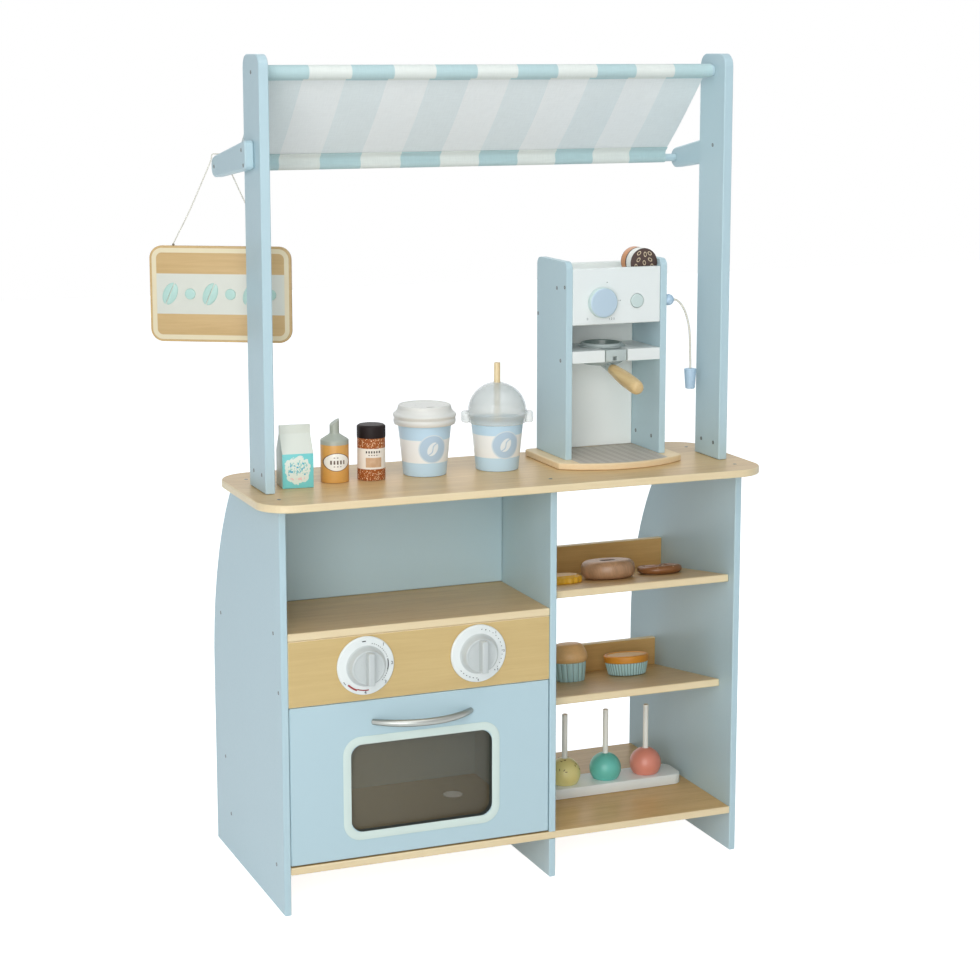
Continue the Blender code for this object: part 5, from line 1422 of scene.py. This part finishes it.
class COFFEESHOP_OT_groceries(bpy.types.Operator):
    """Add the milk carton, the sugar bottle and the spice jar"""
    bl_idname = "coffee_shop.groceries"
    bl_label = "Groceries"

    def execute(self, context):
        self.carton()
        self.bottle()
        self.jar()
        return {"FINISHED"}

    def carton(self):
        """A gabled carton: a cube whose top is drawn up into a ridge and a fin."""
        base = foot("milk_carton")
        side, eave, ridge, top, fin = 0.040, 0.044, 0.067, 0.078, 0.0036
        piece = block("carton", (-side / 2, -side / 2, 0), (side / 2, side / 2, eave), 0)
        with editing(piece):
            pick_faces(piece, lambda centre, normal: normal.z > 0.5)
            bpy.ops.mesh.extrude_region_move(TRANSFORM_OT_translate={"value": (0, 0, ridge - eave)})
            bpy.ops.transform.resize(value=(1, fin / side, 1))
            bpy.ops.mesh.extrude_region_move(TRANSFORM_OT_translate={"value": (0, 0, top - ridge)})
        soften(piece, 0.0007, 2, 20)
        settle(piece, base, ON_CARTON)

        def build(graph, place):
            flat = graph.local(place, base + Vector((0, 0, 0.0235)), ON_CARTON)
            _, y, z = graph.axes(flat)
            lower = graph.under(z, 0.0200, 0.0204)
            front = graph.between(graph.math("ABSOLUTE", y), side / 2 - 0.0006, side / 2 - 0.0003)
            tint = graph.mix(graph.times(lower, front), srgb(217, 220, 209), colours().turquoise)
            blot = graph.times(graph.noise(flat, 170.0, 2.0), 0.0110)
            reach = graph.group("Rounded outline", Vector=graph.local(flat, (0, 0, -0.001)),
                                Half_size=(0.0165, 1.0, 0.0180), Corner=0.0150)["Distance"]
            splash = graph.under(graph.math("SUBTRACT", reach, blot), -0.0066, -0.0062)
            tint = graph.mix(graph.times(splash, front, lower), tint, srgb(228, 236, 226))
            inner = graph.times(graph.under(reach, -0.0042, -0.0038), front)
            for scale, low, high, ink in ((247.0, -0.0070, 0.0090, srgb(72, 178, 206)),
                                          (390.0, -0.0050, 0.0130, srgb(164, 214, 206)),
                                          (312.0, -0.0155, -0.0095, srgb(238, 206, 198))):
                shape = graph.between(graph.noise(flat, scale, 1.0), 0.55, 0.57)
                tint = graph.mix(graph.times(shape, graph.band(z, low, high), inner), tint, ink)
            return tint
        finish(piece, "carton", "carton_paint", painted_over("Carton print", build, 0.36), "milk_carton")

    def line(self, graph, label, low, high, half, ripples, edge):
        """A line of print: a bar across a label, broken up by ripples."""
        across, _, up = graph.axes(label)
        ripple = graph.between(graph.math("SINE", graph.times(across, ripples)), -edge, edge)
        return graph.times(graph.band(up, low, high), graph.band(across, -half, half), ripple)

    def bottle(self):
        """A round bottle with a cone and a slanted spout."""
        base = foot("sugar_bottle")
        radius, neck, blank = 0.0182, 0.0062, 0.0900
        profile = fillet([(0, 0), (radius, 0), (radius, 0.0540), (neck, 0.0618), (neck, blank), (0, blank)],
                         0.0009, 3)
        piece = spun("sugar_bottle_body", profile, 72)
        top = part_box("sugar_bottle")[1].z - base.z
        with editing(piece):
            bpy.ops.mesh.select_all(action="SELECT")
            slope = Vector((-0.0265, 0, 0.040)).normalized()
            bpy.ops.mesh.bisect(plane_co=(neck, 0, top), plane_no=slope, use_fill=True, clear_outer=True)
        settle(smooth(piece), base)
        paint = colours()

        def build(graph, place):
            flat = graph.local(place, base)
            _, y, z = graph.axes(flat)
            streak = graph.noise(graph.scaled(flat, (60.0, 60.0, 700.0)), 1.0, 3.0)
            amber = graph.mix(streak, paint.amber, toned(paint.amber, 0.86))
            label = graph.local(place, base + Vector((-0.0030, -radius, 0.0270)), (0, 0, math.radians(-10)))
            oval = graph.reach(label, (1.0, 0.0, 1.42))
            face = graph.under(y, 0.0, 0.0002)
            rim, white = (graph.times(graph.under(oval, edge, edge + 0.0003), face)
                          for edge in (0.0166, 0.0155))
            tint = graph.mix(white, graph.mix(rim, amber, srgb(110, 78, 50)), srgb(246, 244, 236))
            for low, high, half in ((-0.0028, 0.0022, 0.0100), (-0.0062, -0.0052, 0.0058),
                                    (0.0052, 0.0062, 0.0042)):
                mark = graph.times(self.line(graph, label, low, high, half, 1500.0, 0.4), white)
                tint = graph.mix(mark, tint, srgb(92, 74, 60))
            return graph.mix(graph.between(z, 0.0483, 0.0487), tint, paint.cone)
        finish(piece, "bottle", "amber_paint", painted_over("Bottle paint", build, 0.36), "sugar_bottle")

    def jar(self):
        """A jar with a dark lid, a speckled print and a pale label."""
        base = foot("spice_jar")
        radius, lid, seam, top = 0.0181, 0.0185, 0.0542, 0.0710
        profile = fillet([(0, 0), (radius, 0), (radius, seam), (lid, seam + 0.0006), (lid, top - 0.0020),
                          (lid - 0.0022, top), (0, top)], 0.0008, 3)
        piece = settle(spun("spice_jar_body", profile, 72), base)
        paint = colours()

        def build(graph, place):
            flat = graph.local(place, base)
            _, y, z = graph.axes(flat)
            grains = graph.group("Speckles", Vector=flat, Scale=640.0, Amount=0.58)
            bits = graph.mix(grains["Tone"], srgb(212, 150, 98), srgb(250, 226, 188))
            tint = graph.mix(grains["Mask"], paint.spice, bits)
            tint = graph.mix(graph.band(z, 0.0150, 0.0415), tint, srgb(244, 238, 228))
            label = graph.local(place, base + Vector((-0.003, -radius, 0.0260)), (0, 0, math.radians(-14)))
            face = graph.under(y, 0.0, 0.0002)
            for low, high, half, ink in ((0.0098, 0.0126, 0.0100, srgb(52, 44, 42)),
                                         (0.0066, 0.0078, 0.0070, srgb(120, 96, 84))):
                mark = graph.times(self.line(graph, label, low, high, half, 1900.0, 0.5), face)
                tint = graph.mix(mark, tint, ink)
            across, _, up = graph.axes(label)
            patch = graph.times(graph.band(up, -0.0085, 0.0040), graph.band(across, -0.0100, 0.0100), face)
            brown = graph.mix(graph.noise(flat, 160.0, 2.0), srgb(196, 150, 112), srgb(226, 196, 164))
            tint = graph.mix(patch, tint, brown)
            return graph.mix(graph.between(z, seam + 0.0002, seam + 0.0004), tint, paint.lid_black)
        ink = painted_over("Jar print", build, 0.5, Specular_IOR_Level=0.2)
        finish(piece, "jar", "spice_paint", ink, "spice_jar")


class COFFEESHOP_OT_cups(bpy.types.Operator):
    """Add the takeaway cup and the dome cup with their lids and straw"""
    bl_idname = "coffee_shop.cups"
    bl_label = "Cups"

    def execute(self, context):
        for node, body, mouth, emblem in (
                ("takeaway_cup", "cup", CUP_MOUTH, (-0.0005, -0.0320, 0.0368)),
                ("dome_cup", "shake_cup", DOME_CUP_MOUTH, (-0.0005, -0.0317, 0.0356))):
            self.cup(node, body, mouth, Vector(emblem))
        self.lid()
        self.dome()
        self.straw()
        return {"FINISHED"}

    def cup(self, node, body, mouth, emblem):
        """An open cup with a white band and a bean printed on it."""
        name, base = node + "_shell", foot(node)
        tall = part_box(node)[1].z - base.z
        under, floor, inner = 0.0280, 0.004, mouth - CUP_WALL
        profile = fillet([(0, 0.001), (under - 0.003, 0.001), (under - 0.002, 0), (under, 0),
                          (mouth - 0.0006, tall - 0.003), (mouth, tall - 0.0018), (mouth - 0.0003, tall),
                          (inner, tall), (inner - 0.0006, tall - 0.004), (under - CUP_WALL, floor),
                          (0, floor)], 0.0006, 3)
        piece = settle(spun(name, profile), base)
        centre = base + emblem
        paint = colours()

        def build(graph, place):
            z = graph.axes(graph.local(place, base))[2]
            tint = graph.mix(graph.band(z, 0.0180, 0.0480), paint.cup_blue, paint.cup_white)
            reach = graph.vector("DISTANCE", place, centre)
            tint = graph.mix(graph.under(reach, 0.0188, 0.0191), tint, srgb(216, 230, 240))
            tint = graph.mix(graph.under(reach, 0.0172, 0.0175), tint, srgb(186, 210, 230))
            turned = graph.local(place, centre, (0, math.radians(30), 0))
            across, _, up = graph.axes(turned)
            wave = graph.times(graph.math("SINE", graph.times(up, 420.0)), 0.0012)
            groove = graph.math("ABSOLUTE", graph.plus(across, wave))
            bean = graph.times(graph.under(graph.reach(turned, (1.45, 0.0, 1.0)), 0.0094, 0.0097),
                               graph.between(groove, 0.0006, 0.0009), graph.under(reach, 0.0120, 0.0122))
            return graph.mix(bean, tint, srgb(236, 242, 244))
        finish(piece, body, "cup_paint", painted_over(name + " print", build, 0.34), node)

    def seat(self, node):
        """Middle of a cup's mouth, with the gap that its lid keeps."""
        low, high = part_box(node)
        return foot(node) + Vector((0, 0, high.z - low.z + GAP))

    def lid(self):
        """A white lid with a double rim, a raised rim and a sip hole."""
        inside, top = CUP_MOUTH + 2 * GAP, 0.0165
        profile = fillet([(0, top), (0.0300, top), (0.0315, 0.0178), (0.0335, 0.0176), (0.0345, 0.0155),
                          (0.0352, 0.0120), (0.0375, 0.0085), (0.0405, 0.0062), (0.0414, 0.0045),
                          (0.0408, 0.0028), (0.0396, 0.0003), (0.0406, -0.0022), (0.0404, -0.0045),
                          (0.0394, -0.0075), (0.0383, -0.0075), (inside, -0.0040), (inside, 0), (0.0325, 0),
                          (0.0320, 0.0145), (0, 0.0145)], 0.0010, 3)
        piece = spun("cup_lid_shell", profile)
        hole = begin("sip_hole", bpy.ops.mesh.primitive_cylinder_add, vertices=24, radius=0.003, depth=0.01,
                     location=(0, -0.022, top))
        hole.scale = (1.9, 1, 1)
        carve(piece, apply_place(hole))
        settle(smooth(piece), self.seat("takeaway_cup"))
        plastic = painted("Lid plastic", srgb(223, 221, 214), 0.32, 0.01, 0.03)
        finish(piece, "cup_lid", "lid_white", plastic, "takeaway_lid")

    def dome(self):
        """A clear dome with a thick rim, two ears and a hole for the straw."""
        outer, wall, rise, neck = 0.0386, 0.0016, 0.009, 0.0052
        inner, fit, lip = outer - wall, DOME_CUP_MOUTH + 2 * GAP, DOME_CUP_MOUTH - CUP_WALL
        top = [math.degrees(math.acos(neck / radius)) for radius in (outer, inner)]
        section = ([(fit, -0.0058), (outer - 0.0014, -0.0058), (outer, -0.0048), (outer + 0.0008, 0.0030),
                    (outer + 0.0022, 0.0054), (outer + 0.0022, rise - 0.0016), (outer + 0.0002, rise)]
                   + curve_arc((0, rise), outer, 2, top[0], 18) + curve_arc((0, rise), inner, top[1], 0, 18)
                   + [(inner, 0.0015), (lip, 0.0015), (lip, 0), (fit, 0)])
        parts = [spun("dome_shell", section, closed=True)]
        for turn in (math.radians(-20), math.radians(160)):
            ear = block("dome_ear", (0.0360, -0.013, -0.0053), (0.0475, 0.013, 0.0087), 0)
            with editing(ear):
                pick_edges(ear, lambda a, b: abs(a.z - b.z) > 0.001 and a.x > 0.045)
                bpy.ops.mesh.bevel(offset=0.0085, segments=8, affect="EDGES")
            soften(ear, 0.0032, 4, 50)
            parts.append(settle(ear, turn=(0, 0, turn)))
        piece = settle(join("dome_shell", parts), self.seat("dome_cup"))
        material, graph, shader, place = new_material("Frosted plastic", IOR=1.45, Roughness=0.14, Alpha=0.38)
        edge = graph.put("ShaderNodeLayerWeight")
        graph.feed(edge, "Blend", 0.35)
        cloud = graph.between(graph.noise(place, 60.0), 0.3, 0.7, 0.85, 1.0)
        # Painted shade: the plastic is greyer where it is seen edge-on, towards the dome's outline.
        haze = graph.times(edge.outputs["Facing"], cloud)
        graph.feed(shader, "Base Color", graph.mix(haze, srgb(232, 236, 232), srgb(190, 198, 196)))
        finish(piece, "dome", "clear_dome", material, "dome_lid")

    def straw(self):
        """A turned wooden straw with a hole in its top."""
        base = foot("drinking_straw")
        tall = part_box("drinking_straw")[1].z - base.z
        radius, bore, deep = 0.0042, 0.0022, 0.012
        profile = fillet([(0, 0), (radius, 0), (radius, tall), (bore, tall), (bore, tall - deep),
                          (0, tall - deep)], 0.0005, 2)
        piece = settle(spun("wooden_straw", profile, 40), base)
        wood = grained("Straw wood", srgb(234, 212, 168), srgb(212, 180, 128), 0.5, 0.2,
                       turn=(0, math.pi / 2, 0))
        finish(piece, "straw", "beech", wood, "drinking_straw")


# ---- pastries --------------------------------------------------------------------------------------------

def fluted(piece, flutes, rows):
    """Draws the side of a turned piece in and out, like a paper case. Rows are (height, depth)."""
    for point in piece.data.vertices:
        height = point.co.z
        depth = 0.0
        for (low, first), (high, last) in zip(rows, rows[1:]):
            if low <= height <= high:
                depth = first + (last - first) * (height - low) / max(high - low, 1e-6)
        radius = math.hypot(point.co.x, point.co.y)
        if depth and radius > 0.012:
            angle = math.atan2(point.co.y, point.co.x)
            wave = math.cos(flutes * angle)
            grown = (radius + depth * (abs(wave) ** 0.7) * math.copysign(1, wave)) / radius
            point.co.x *= grown
            point.co.y *= grown
    return smooth(piece, 50)


class COFFEESHOP_OT_pastries(bpy.types.Operator):
    """Add the pastries on the display shelves"""
    bl_idname = "coffee_shop.pastries"
    bl_label = "Pastries"

    def execute(self, context):
        self.donut()
        self.pretzel()
        self.cookie()
        self.cupcake()
        self.tart()
        return {"FINISHED"}

    def stand(self, node, tall):
        """Where a tilted good stands: the point under its middle on the shelf."""
        return middle(node) - Vector((0, math.sin(-SHELF_TILT), math.cos(SHELF_TILT))) * tall / 2

    def donut(self):
        """A thick ring with a rounded outside and a straight hole."""
        tall, outer, inner = 0.025, 0.037, 0.011
        edge, steps = outer - tall / 2, 24
        section = [(inner, tall - 0.0012), (inner, 0.0010), (inner + 0.0010, 0)]
        for i in range(steps + 1):
            angle = math.radians(-90 + 180 * i / steps)
            out, up = (math.copysign(abs(part) ** 0.8, part) for part in (math.cos(angle), math.sin(angle)))
            section.append((edge + tall / 2 * out, tall / 2 * (1 + up)))
        section.append((inner + 0.0030, tall - 0.0003))
        place = self.stand("donut", tall)
        piece = settle(spun("donut_ring", section, closed=True), place, ON_SHELF)
        dough = colours().dough

        def build(graph, coords):
            flat = graph.local(coords, place, ON_SHELF)
            wood = graph.wood(graph.local(flat, (0, 0, 0), (0, math.radians(78), 0.2)), dough,
                              toned(dough, 0.68), 0.9, 0.5)
            # Painted shade: the wall of the hole is dark brown.
            bore = graph.under(graph.reach(flat), inner + 0.0002, inner + 0.0005)
            return wood, graph.mix(bore, wood["Colour"], srgb(66, 44, 32))
        finish(piece, "donut_piece", "beech", wooden("Turned beech", build, 0.2), "donut")

    def pretzel(self):
        """A rope laid in a heart, its two ends crossed, with salt on top."""
        thick, half, steps, left_out = 0.0115, 0.0265, 48, 6
        heart = []
        for i in range(left_out, steps - left_out + 1):
            angle = math.radians(-128 + 256 * i / steps)
            x = math.sin(angle) * (half + 0.0016 * math.cos(2 * angle))
            y = -math.cos(angle) * half * 0.80 - 0.0010
            heart.append(Vector((x, y, thick / 2)))
        ends = [Vector((0.0052, 0.0040, thick * 0.62)), Vector((-0.0062, -0.0080, thick * 0.60)),
                Vector((-0.0140, -0.0165, thick * 0.52))]
        first = [Vector((-p.x, p.y, p.z * 0.92)) for p in ends]
        left = [Vector((-0.0215, 0.0165, thick / 2)), Vector((-0.0120, 0.0185, thick / 2))]
        right = [Vector((-p.x, p.y, p.z)) for p in left]
        path = smooth_route(first[::-1] + left[::-1] + heart + right + ends, 4)
        piece = as_mesh(tube("pretzel_rope", path, thick / 2 * 0.98, 8,
                             lambda t: 0.80 + 0.20 * math.sin(math.pi * t)))
        place = self.stand("pretzel", thick)
        settle(piece, place, ON_SHELF)
        brown = colours().pretzel

        def build(graph, coords):
            flat = graph.local(coords, place, ON_SHELF)
            wood = graph.wood(flat, brown, toned(brown, 0.72), 0.7, 0.4)
            salt = graph.group("Speckles", Vector=flat, Scale=260.0, Amount=0.16)
            up = graph.between(graph.axes(flat)[2], 0.0085, 0.0095)
            return wood, graph.mix(graph.times(salt["Mask"], up), wood["Colour"], srgb(222, 190, 156))
        finish(piece, "pretzel_piece", "dough", wooden("Pretzel wood", build, 0.2), "pretzel")

    def wrapped(self, node, slot, tall, profile, steps, flutes, rows, build, gloss):
        """A turned good with a fluted side. build(graph, flat) paints it as if the shelf were level."""
        place = self.stand(node, tall)
        name = node + ("_disc" if node == "cookie" else "_body")
        piece = settle(fluted(spun(name, profile, steps), flutes, rows), place, ON_SHELF)
        paint = painted_over(node.capitalize() + " paint",
                             lambda graph, coords: build(graph, graph.local(coords, place, ON_SHELF)), gloss)
        finish(piece, node + "_piece", slot, paint, node)

    def case(self, graph, flat, flutes, groove, shade):
        """The tint of a paper case, with painted shade darkening its grooves."""
        x, y, _ = graph.axes(flat)
        wave = graph.math("COSINE", graph.times(graph.math("ARCTAN2", y, x), flutes))
        return graph.mix(graph.between(wave, *groove), toned(colours().case, shade), colours().case)

    def cookie(self):
        """A scalloped yellow rim round a pale top."""
        radius, tall, top_radius = 0.0305, 0.0110, 0.0252
        profile = fillet([(0, 0), (radius - 0.0010, 0), (radius, 0.0010), (radius, 0.0068), (0.0288, 0.0088),
                          (0.0262, 0.0094), (top_radius, tall), (0, tall)], 0.0008, 3)
        rows = [(0, 0.0007), (0.0012, 0.0009), (0.0085, 0.0009), (0.0094, 0.0003), (0.0100, 0)]

        def build(graph, flat):
            crumbs = graph.between(graph.noise(flat, 260.0, 4.0), 0.4, 0.6)
            top = graph.mix(crumbs, srgb(232, 176, 92), srgb(244, 204, 130))
            rim = graph.between(graph.reach(flat), top_radius - 0.0002, top_radius + 0.0002)
            return graph.mix(rim, top, colours().yolk)
        self.wrapped("cookie", "icing", tall, profile, 144, 18, rows, build, 0.42)

    def cupcake(self):
        """A pale sponge that bulges over its paper case."""
        tall, mouth, wrap, flutes = 0.052, 0.0225, 0.026, 16
        profile = fillet([(0, 0), (0.0190, 0), (0.0195, 0.0008), (mouth, wrap - 0.0006),
                          (mouth - 0.0010, wrap), (mouth + 0.0014, wrap + 0.0016),
                          (mouth + 0.0032, wrap + 0.0060), (mouth + 0.0026, wrap + 0.0120),
                          (mouth - 0.0004, tall - 0.0072), (mouth - 0.0042, tall - 0.0014),
                          (mouth - 0.0085, tall), (0, tall)], 0.0028, 4)
        rows = [(0, 0.0004), (0.0012, 0.0005), (wrap - 0.0006, 0.0005), (wrap, 0.0)]

        def build(graph, flat):
            case = self.case(graph, flat, flutes, (-0.985, -0.93), 0.28)
            crumbs, sponge = graph.noise(flat, 320.0, 3.0), colours().sponge
            top = graph.mix(crumbs, sponge, toned(sponge, 0.84))
            return graph.mix(graph.between(graph.axes(flat)[2], wrap - 0.0002, wrap + 0.0002), case, top)
        self.wrapped("cupcake", "wrapper", tall, profile, 160, flutes, rows, build, 0.45)

    def tart(self):
        """A paper case with an orange rim round a crumbly filling."""
        tall, cup, low, high, flutes = 0.0275, 0.017, 0.026, 0.0305, 40
        profile = fillet([(0, 0), (low - 0.0006, 0), (low, 0.0010), (high - 0.0010, cup - 0.0004),
                          (high - 0.0018, cup + 0.0002), (high + 0.0008, cup + 0.0008),
                          (high + 0.0013, tall - 0.0018), (high, tall - 0.0003), (high - 0.0030, tall),
                          (high - 0.0044, tall - 0.0014), (0, tall - 0.0014)], 0.0006, 3)
        rows = [(0, 0.0003), (0.0010, 0.0005), (cup - 0.0006, 0.0006), (cup, 0.0)]

        def build(graph, flat):
            case = self.case(graph, flat, flutes, (-0.95, -0.2), 0.50)
            filling = graph.mix(graph.noise(flat, 260.0, 4.0), srgb(226, 170, 92), srgb(240, 198, 124))
            rim = graph.between(graph.reach(flat), high - 0.0046, high - 0.0042)
            top = graph.mix(rim, filling, colours().glaze)
            return graph.mix(graph.between(graph.axes(flat)[2], cup - 0.0001, cup + 0.0002), case, top)
        self.wrapped("tart", "wrapper", tall, profile, 240, flutes, rows, build, 0.42)


class COFFEESHOP_OT_cake_pops(bpy.types.Operator):
    """Add the cake pops and their tray"""
    bl_idname = "coffee_shop.cake_pops"
    bl_label = "Cake pops"

    def execute(self, context):
        low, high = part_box("pop_tray")
        size = high - low
        tray = plate("cake_pop_tray", size.x, size.y, size.z, 0.014, 0.0012)
        settle(tray, (low + high) / 2, OUTWARD)
        finish(tray, "tray", "white_paint", FINISH["white"], "pop_tray")
        for tone in ("olive", "teal", "coral"):
            self.pop(tone, getattr(colours(), tone))
        return {"FINISHED"}

    def pop(self, tone, tint):
        """A ball with a flat foot and a stick, turned as one."""
        node = tone + "_cake_pop"
        base = foot(node)
        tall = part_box(node)[1].z - base.z
        radius, lift, stick = 0.022, 0.0138, 0.0038
        start = math.degrees(math.asin(lift / radius))
        end = 90 - math.degrees(math.asin(stick / radius))
        ball = curve_arc((0, lift), radius, -start, end, 30)
        profile = [(0, 0)] + ball + [(stick, tall - 0.0008), (stick - 0.0008, tall), (0, tall)]
        piece = settle(spun(tone + "_pop", profile), base)

        def build(graph, place):
            flat, top = graph.local(place, base), lift + radius
            wood = graph.wood(graph.local(flat, (0, 0, 0), (0, math.pi / 2, 0)), srgb(246, 246, 240),
                              srgb(236, 234, 222), 0.5, 0.1)["Colour"]
            return graph.mix(graph.between(graph.axes(flat)[2], top - 0.0006, top - 0.0003), tint, wood)
        paint = painted_over(tone + " pop paint", build, 0.4, Coat_Weight=0.15)
        finish(piece, tone + "_pop", tone, paint, node)
        if tone == "olive":
            self.sprinkles(base + Vector((0, 0, lift)), radius)

    def sprinkles(self, centre, radius):
        """Short rods scattered over the ball."""
        rng = random.Random(7)
        long, thin = sizes().sprinkle, 0.0006
        seed = spun("sprinkle", fillet([(0, 0), (thin, 0), (thin, long), (0, long)], 0.0003, 2), 8)
        parts = []
        for _ in range(30):
            up = rng.uniform(0.30, 0.96)
            around = rng.uniform(0, math.tau)
            flat = math.sqrt(1 - up * up)
            normal = Vector((flat * math.cos(around), flat * math.sin(around), up))
            along = normal.cross(Vector([rng.uniform(-1, 1) for _ in range(3)])).normalized()
            spot = centre + normal * (radius + 0.0001) - along * long / 2
            parts.append(settle(duplicate(seed), spot, along.to_track_quat("Z", "Y").to_euler()))
        bpy.data.objects.remove(seed)
        piece = join("pop_sprinkles", parts)

        def build(graph, place):
            cells = graph.group("Speckles", Vector=place, Scale=150.0, Amount=0.5)
            return graph.mix(cells["Tone"], srgb(120, 98, 58), srgb(176, 158, 92))
        finish(piece, "olive_pop", "olive", painted_over("Sprinkles", build, 0.4))


# ---- add-on ----------------------------------------------------------------------------------------------

OPERATORS = (COFFEESHOP_OT_stage, COFFEESHOP_OT_sign, COFFEESHOP_OT_machine, COFFEESHOP_OT_cabinet,
             COFFEESHOP_OT_screws, COFFEESHOP_OT_oven, COFFEESHOP_OT_awning, COFFEESHOP_OT_groceries,
             COFFEESHOP_OT_cups, COFFEESHOP_OT_pastries, COFFEESHOP_OT_cake_pops)


class COFFEESHOP_PT_shop(bpy.types.Panel):
    """Lists the shop's pieces in the sidebar"""
    bl_label = "Coffee Shop"
    bl_space_type = "VIEW_3D"
    bl_region_type = "UI"
    bl_category = "Coffee Shop"

    def draw(self, context):
        for operator in OPERATORS:
            self.layout.operator(operator.bl_idname)
        for group in (context.scene.shop_sizes, context.scene.shop_colours, context.scene.shop_stage):
            box = self.layout.box()
            for name in group.__annotations__:
                box.prop(group, name)


CLASSES = (ShopColours, ShopSizes, StageSettings, COFFEESHOP_PT_shop) + OPERATORS


def register():
    for item in CLASSES:
        bpy.utils.register_class(item)
    bpy.types.Scene.shop_colours = PointerProperty(type=ShopColours)
    bpy.types.Scene.shop_sizes = PointerProperty(type=ShopSizes)
    bpy.types.Scene.shop_stage = PointerProperty(type=StageSettings)


def unregister():
    del bpy.types.Scene.shop_stage
    del bpy.types.Scene.shop_sizes
    del bpy.types.Scene.shop_colours
    for item in reversed(CLASSES):
        bpy.utils.unregister_class(item)


def main():
    register()
    build_groups()
    FINISH.update(build_materials())
    for operator in OPERATORS:
        group, name = operator.bl_idname.split(".")
        getattr(getattr(bpy.ops, group), name)()


if __name__ == "__main__":
    main()
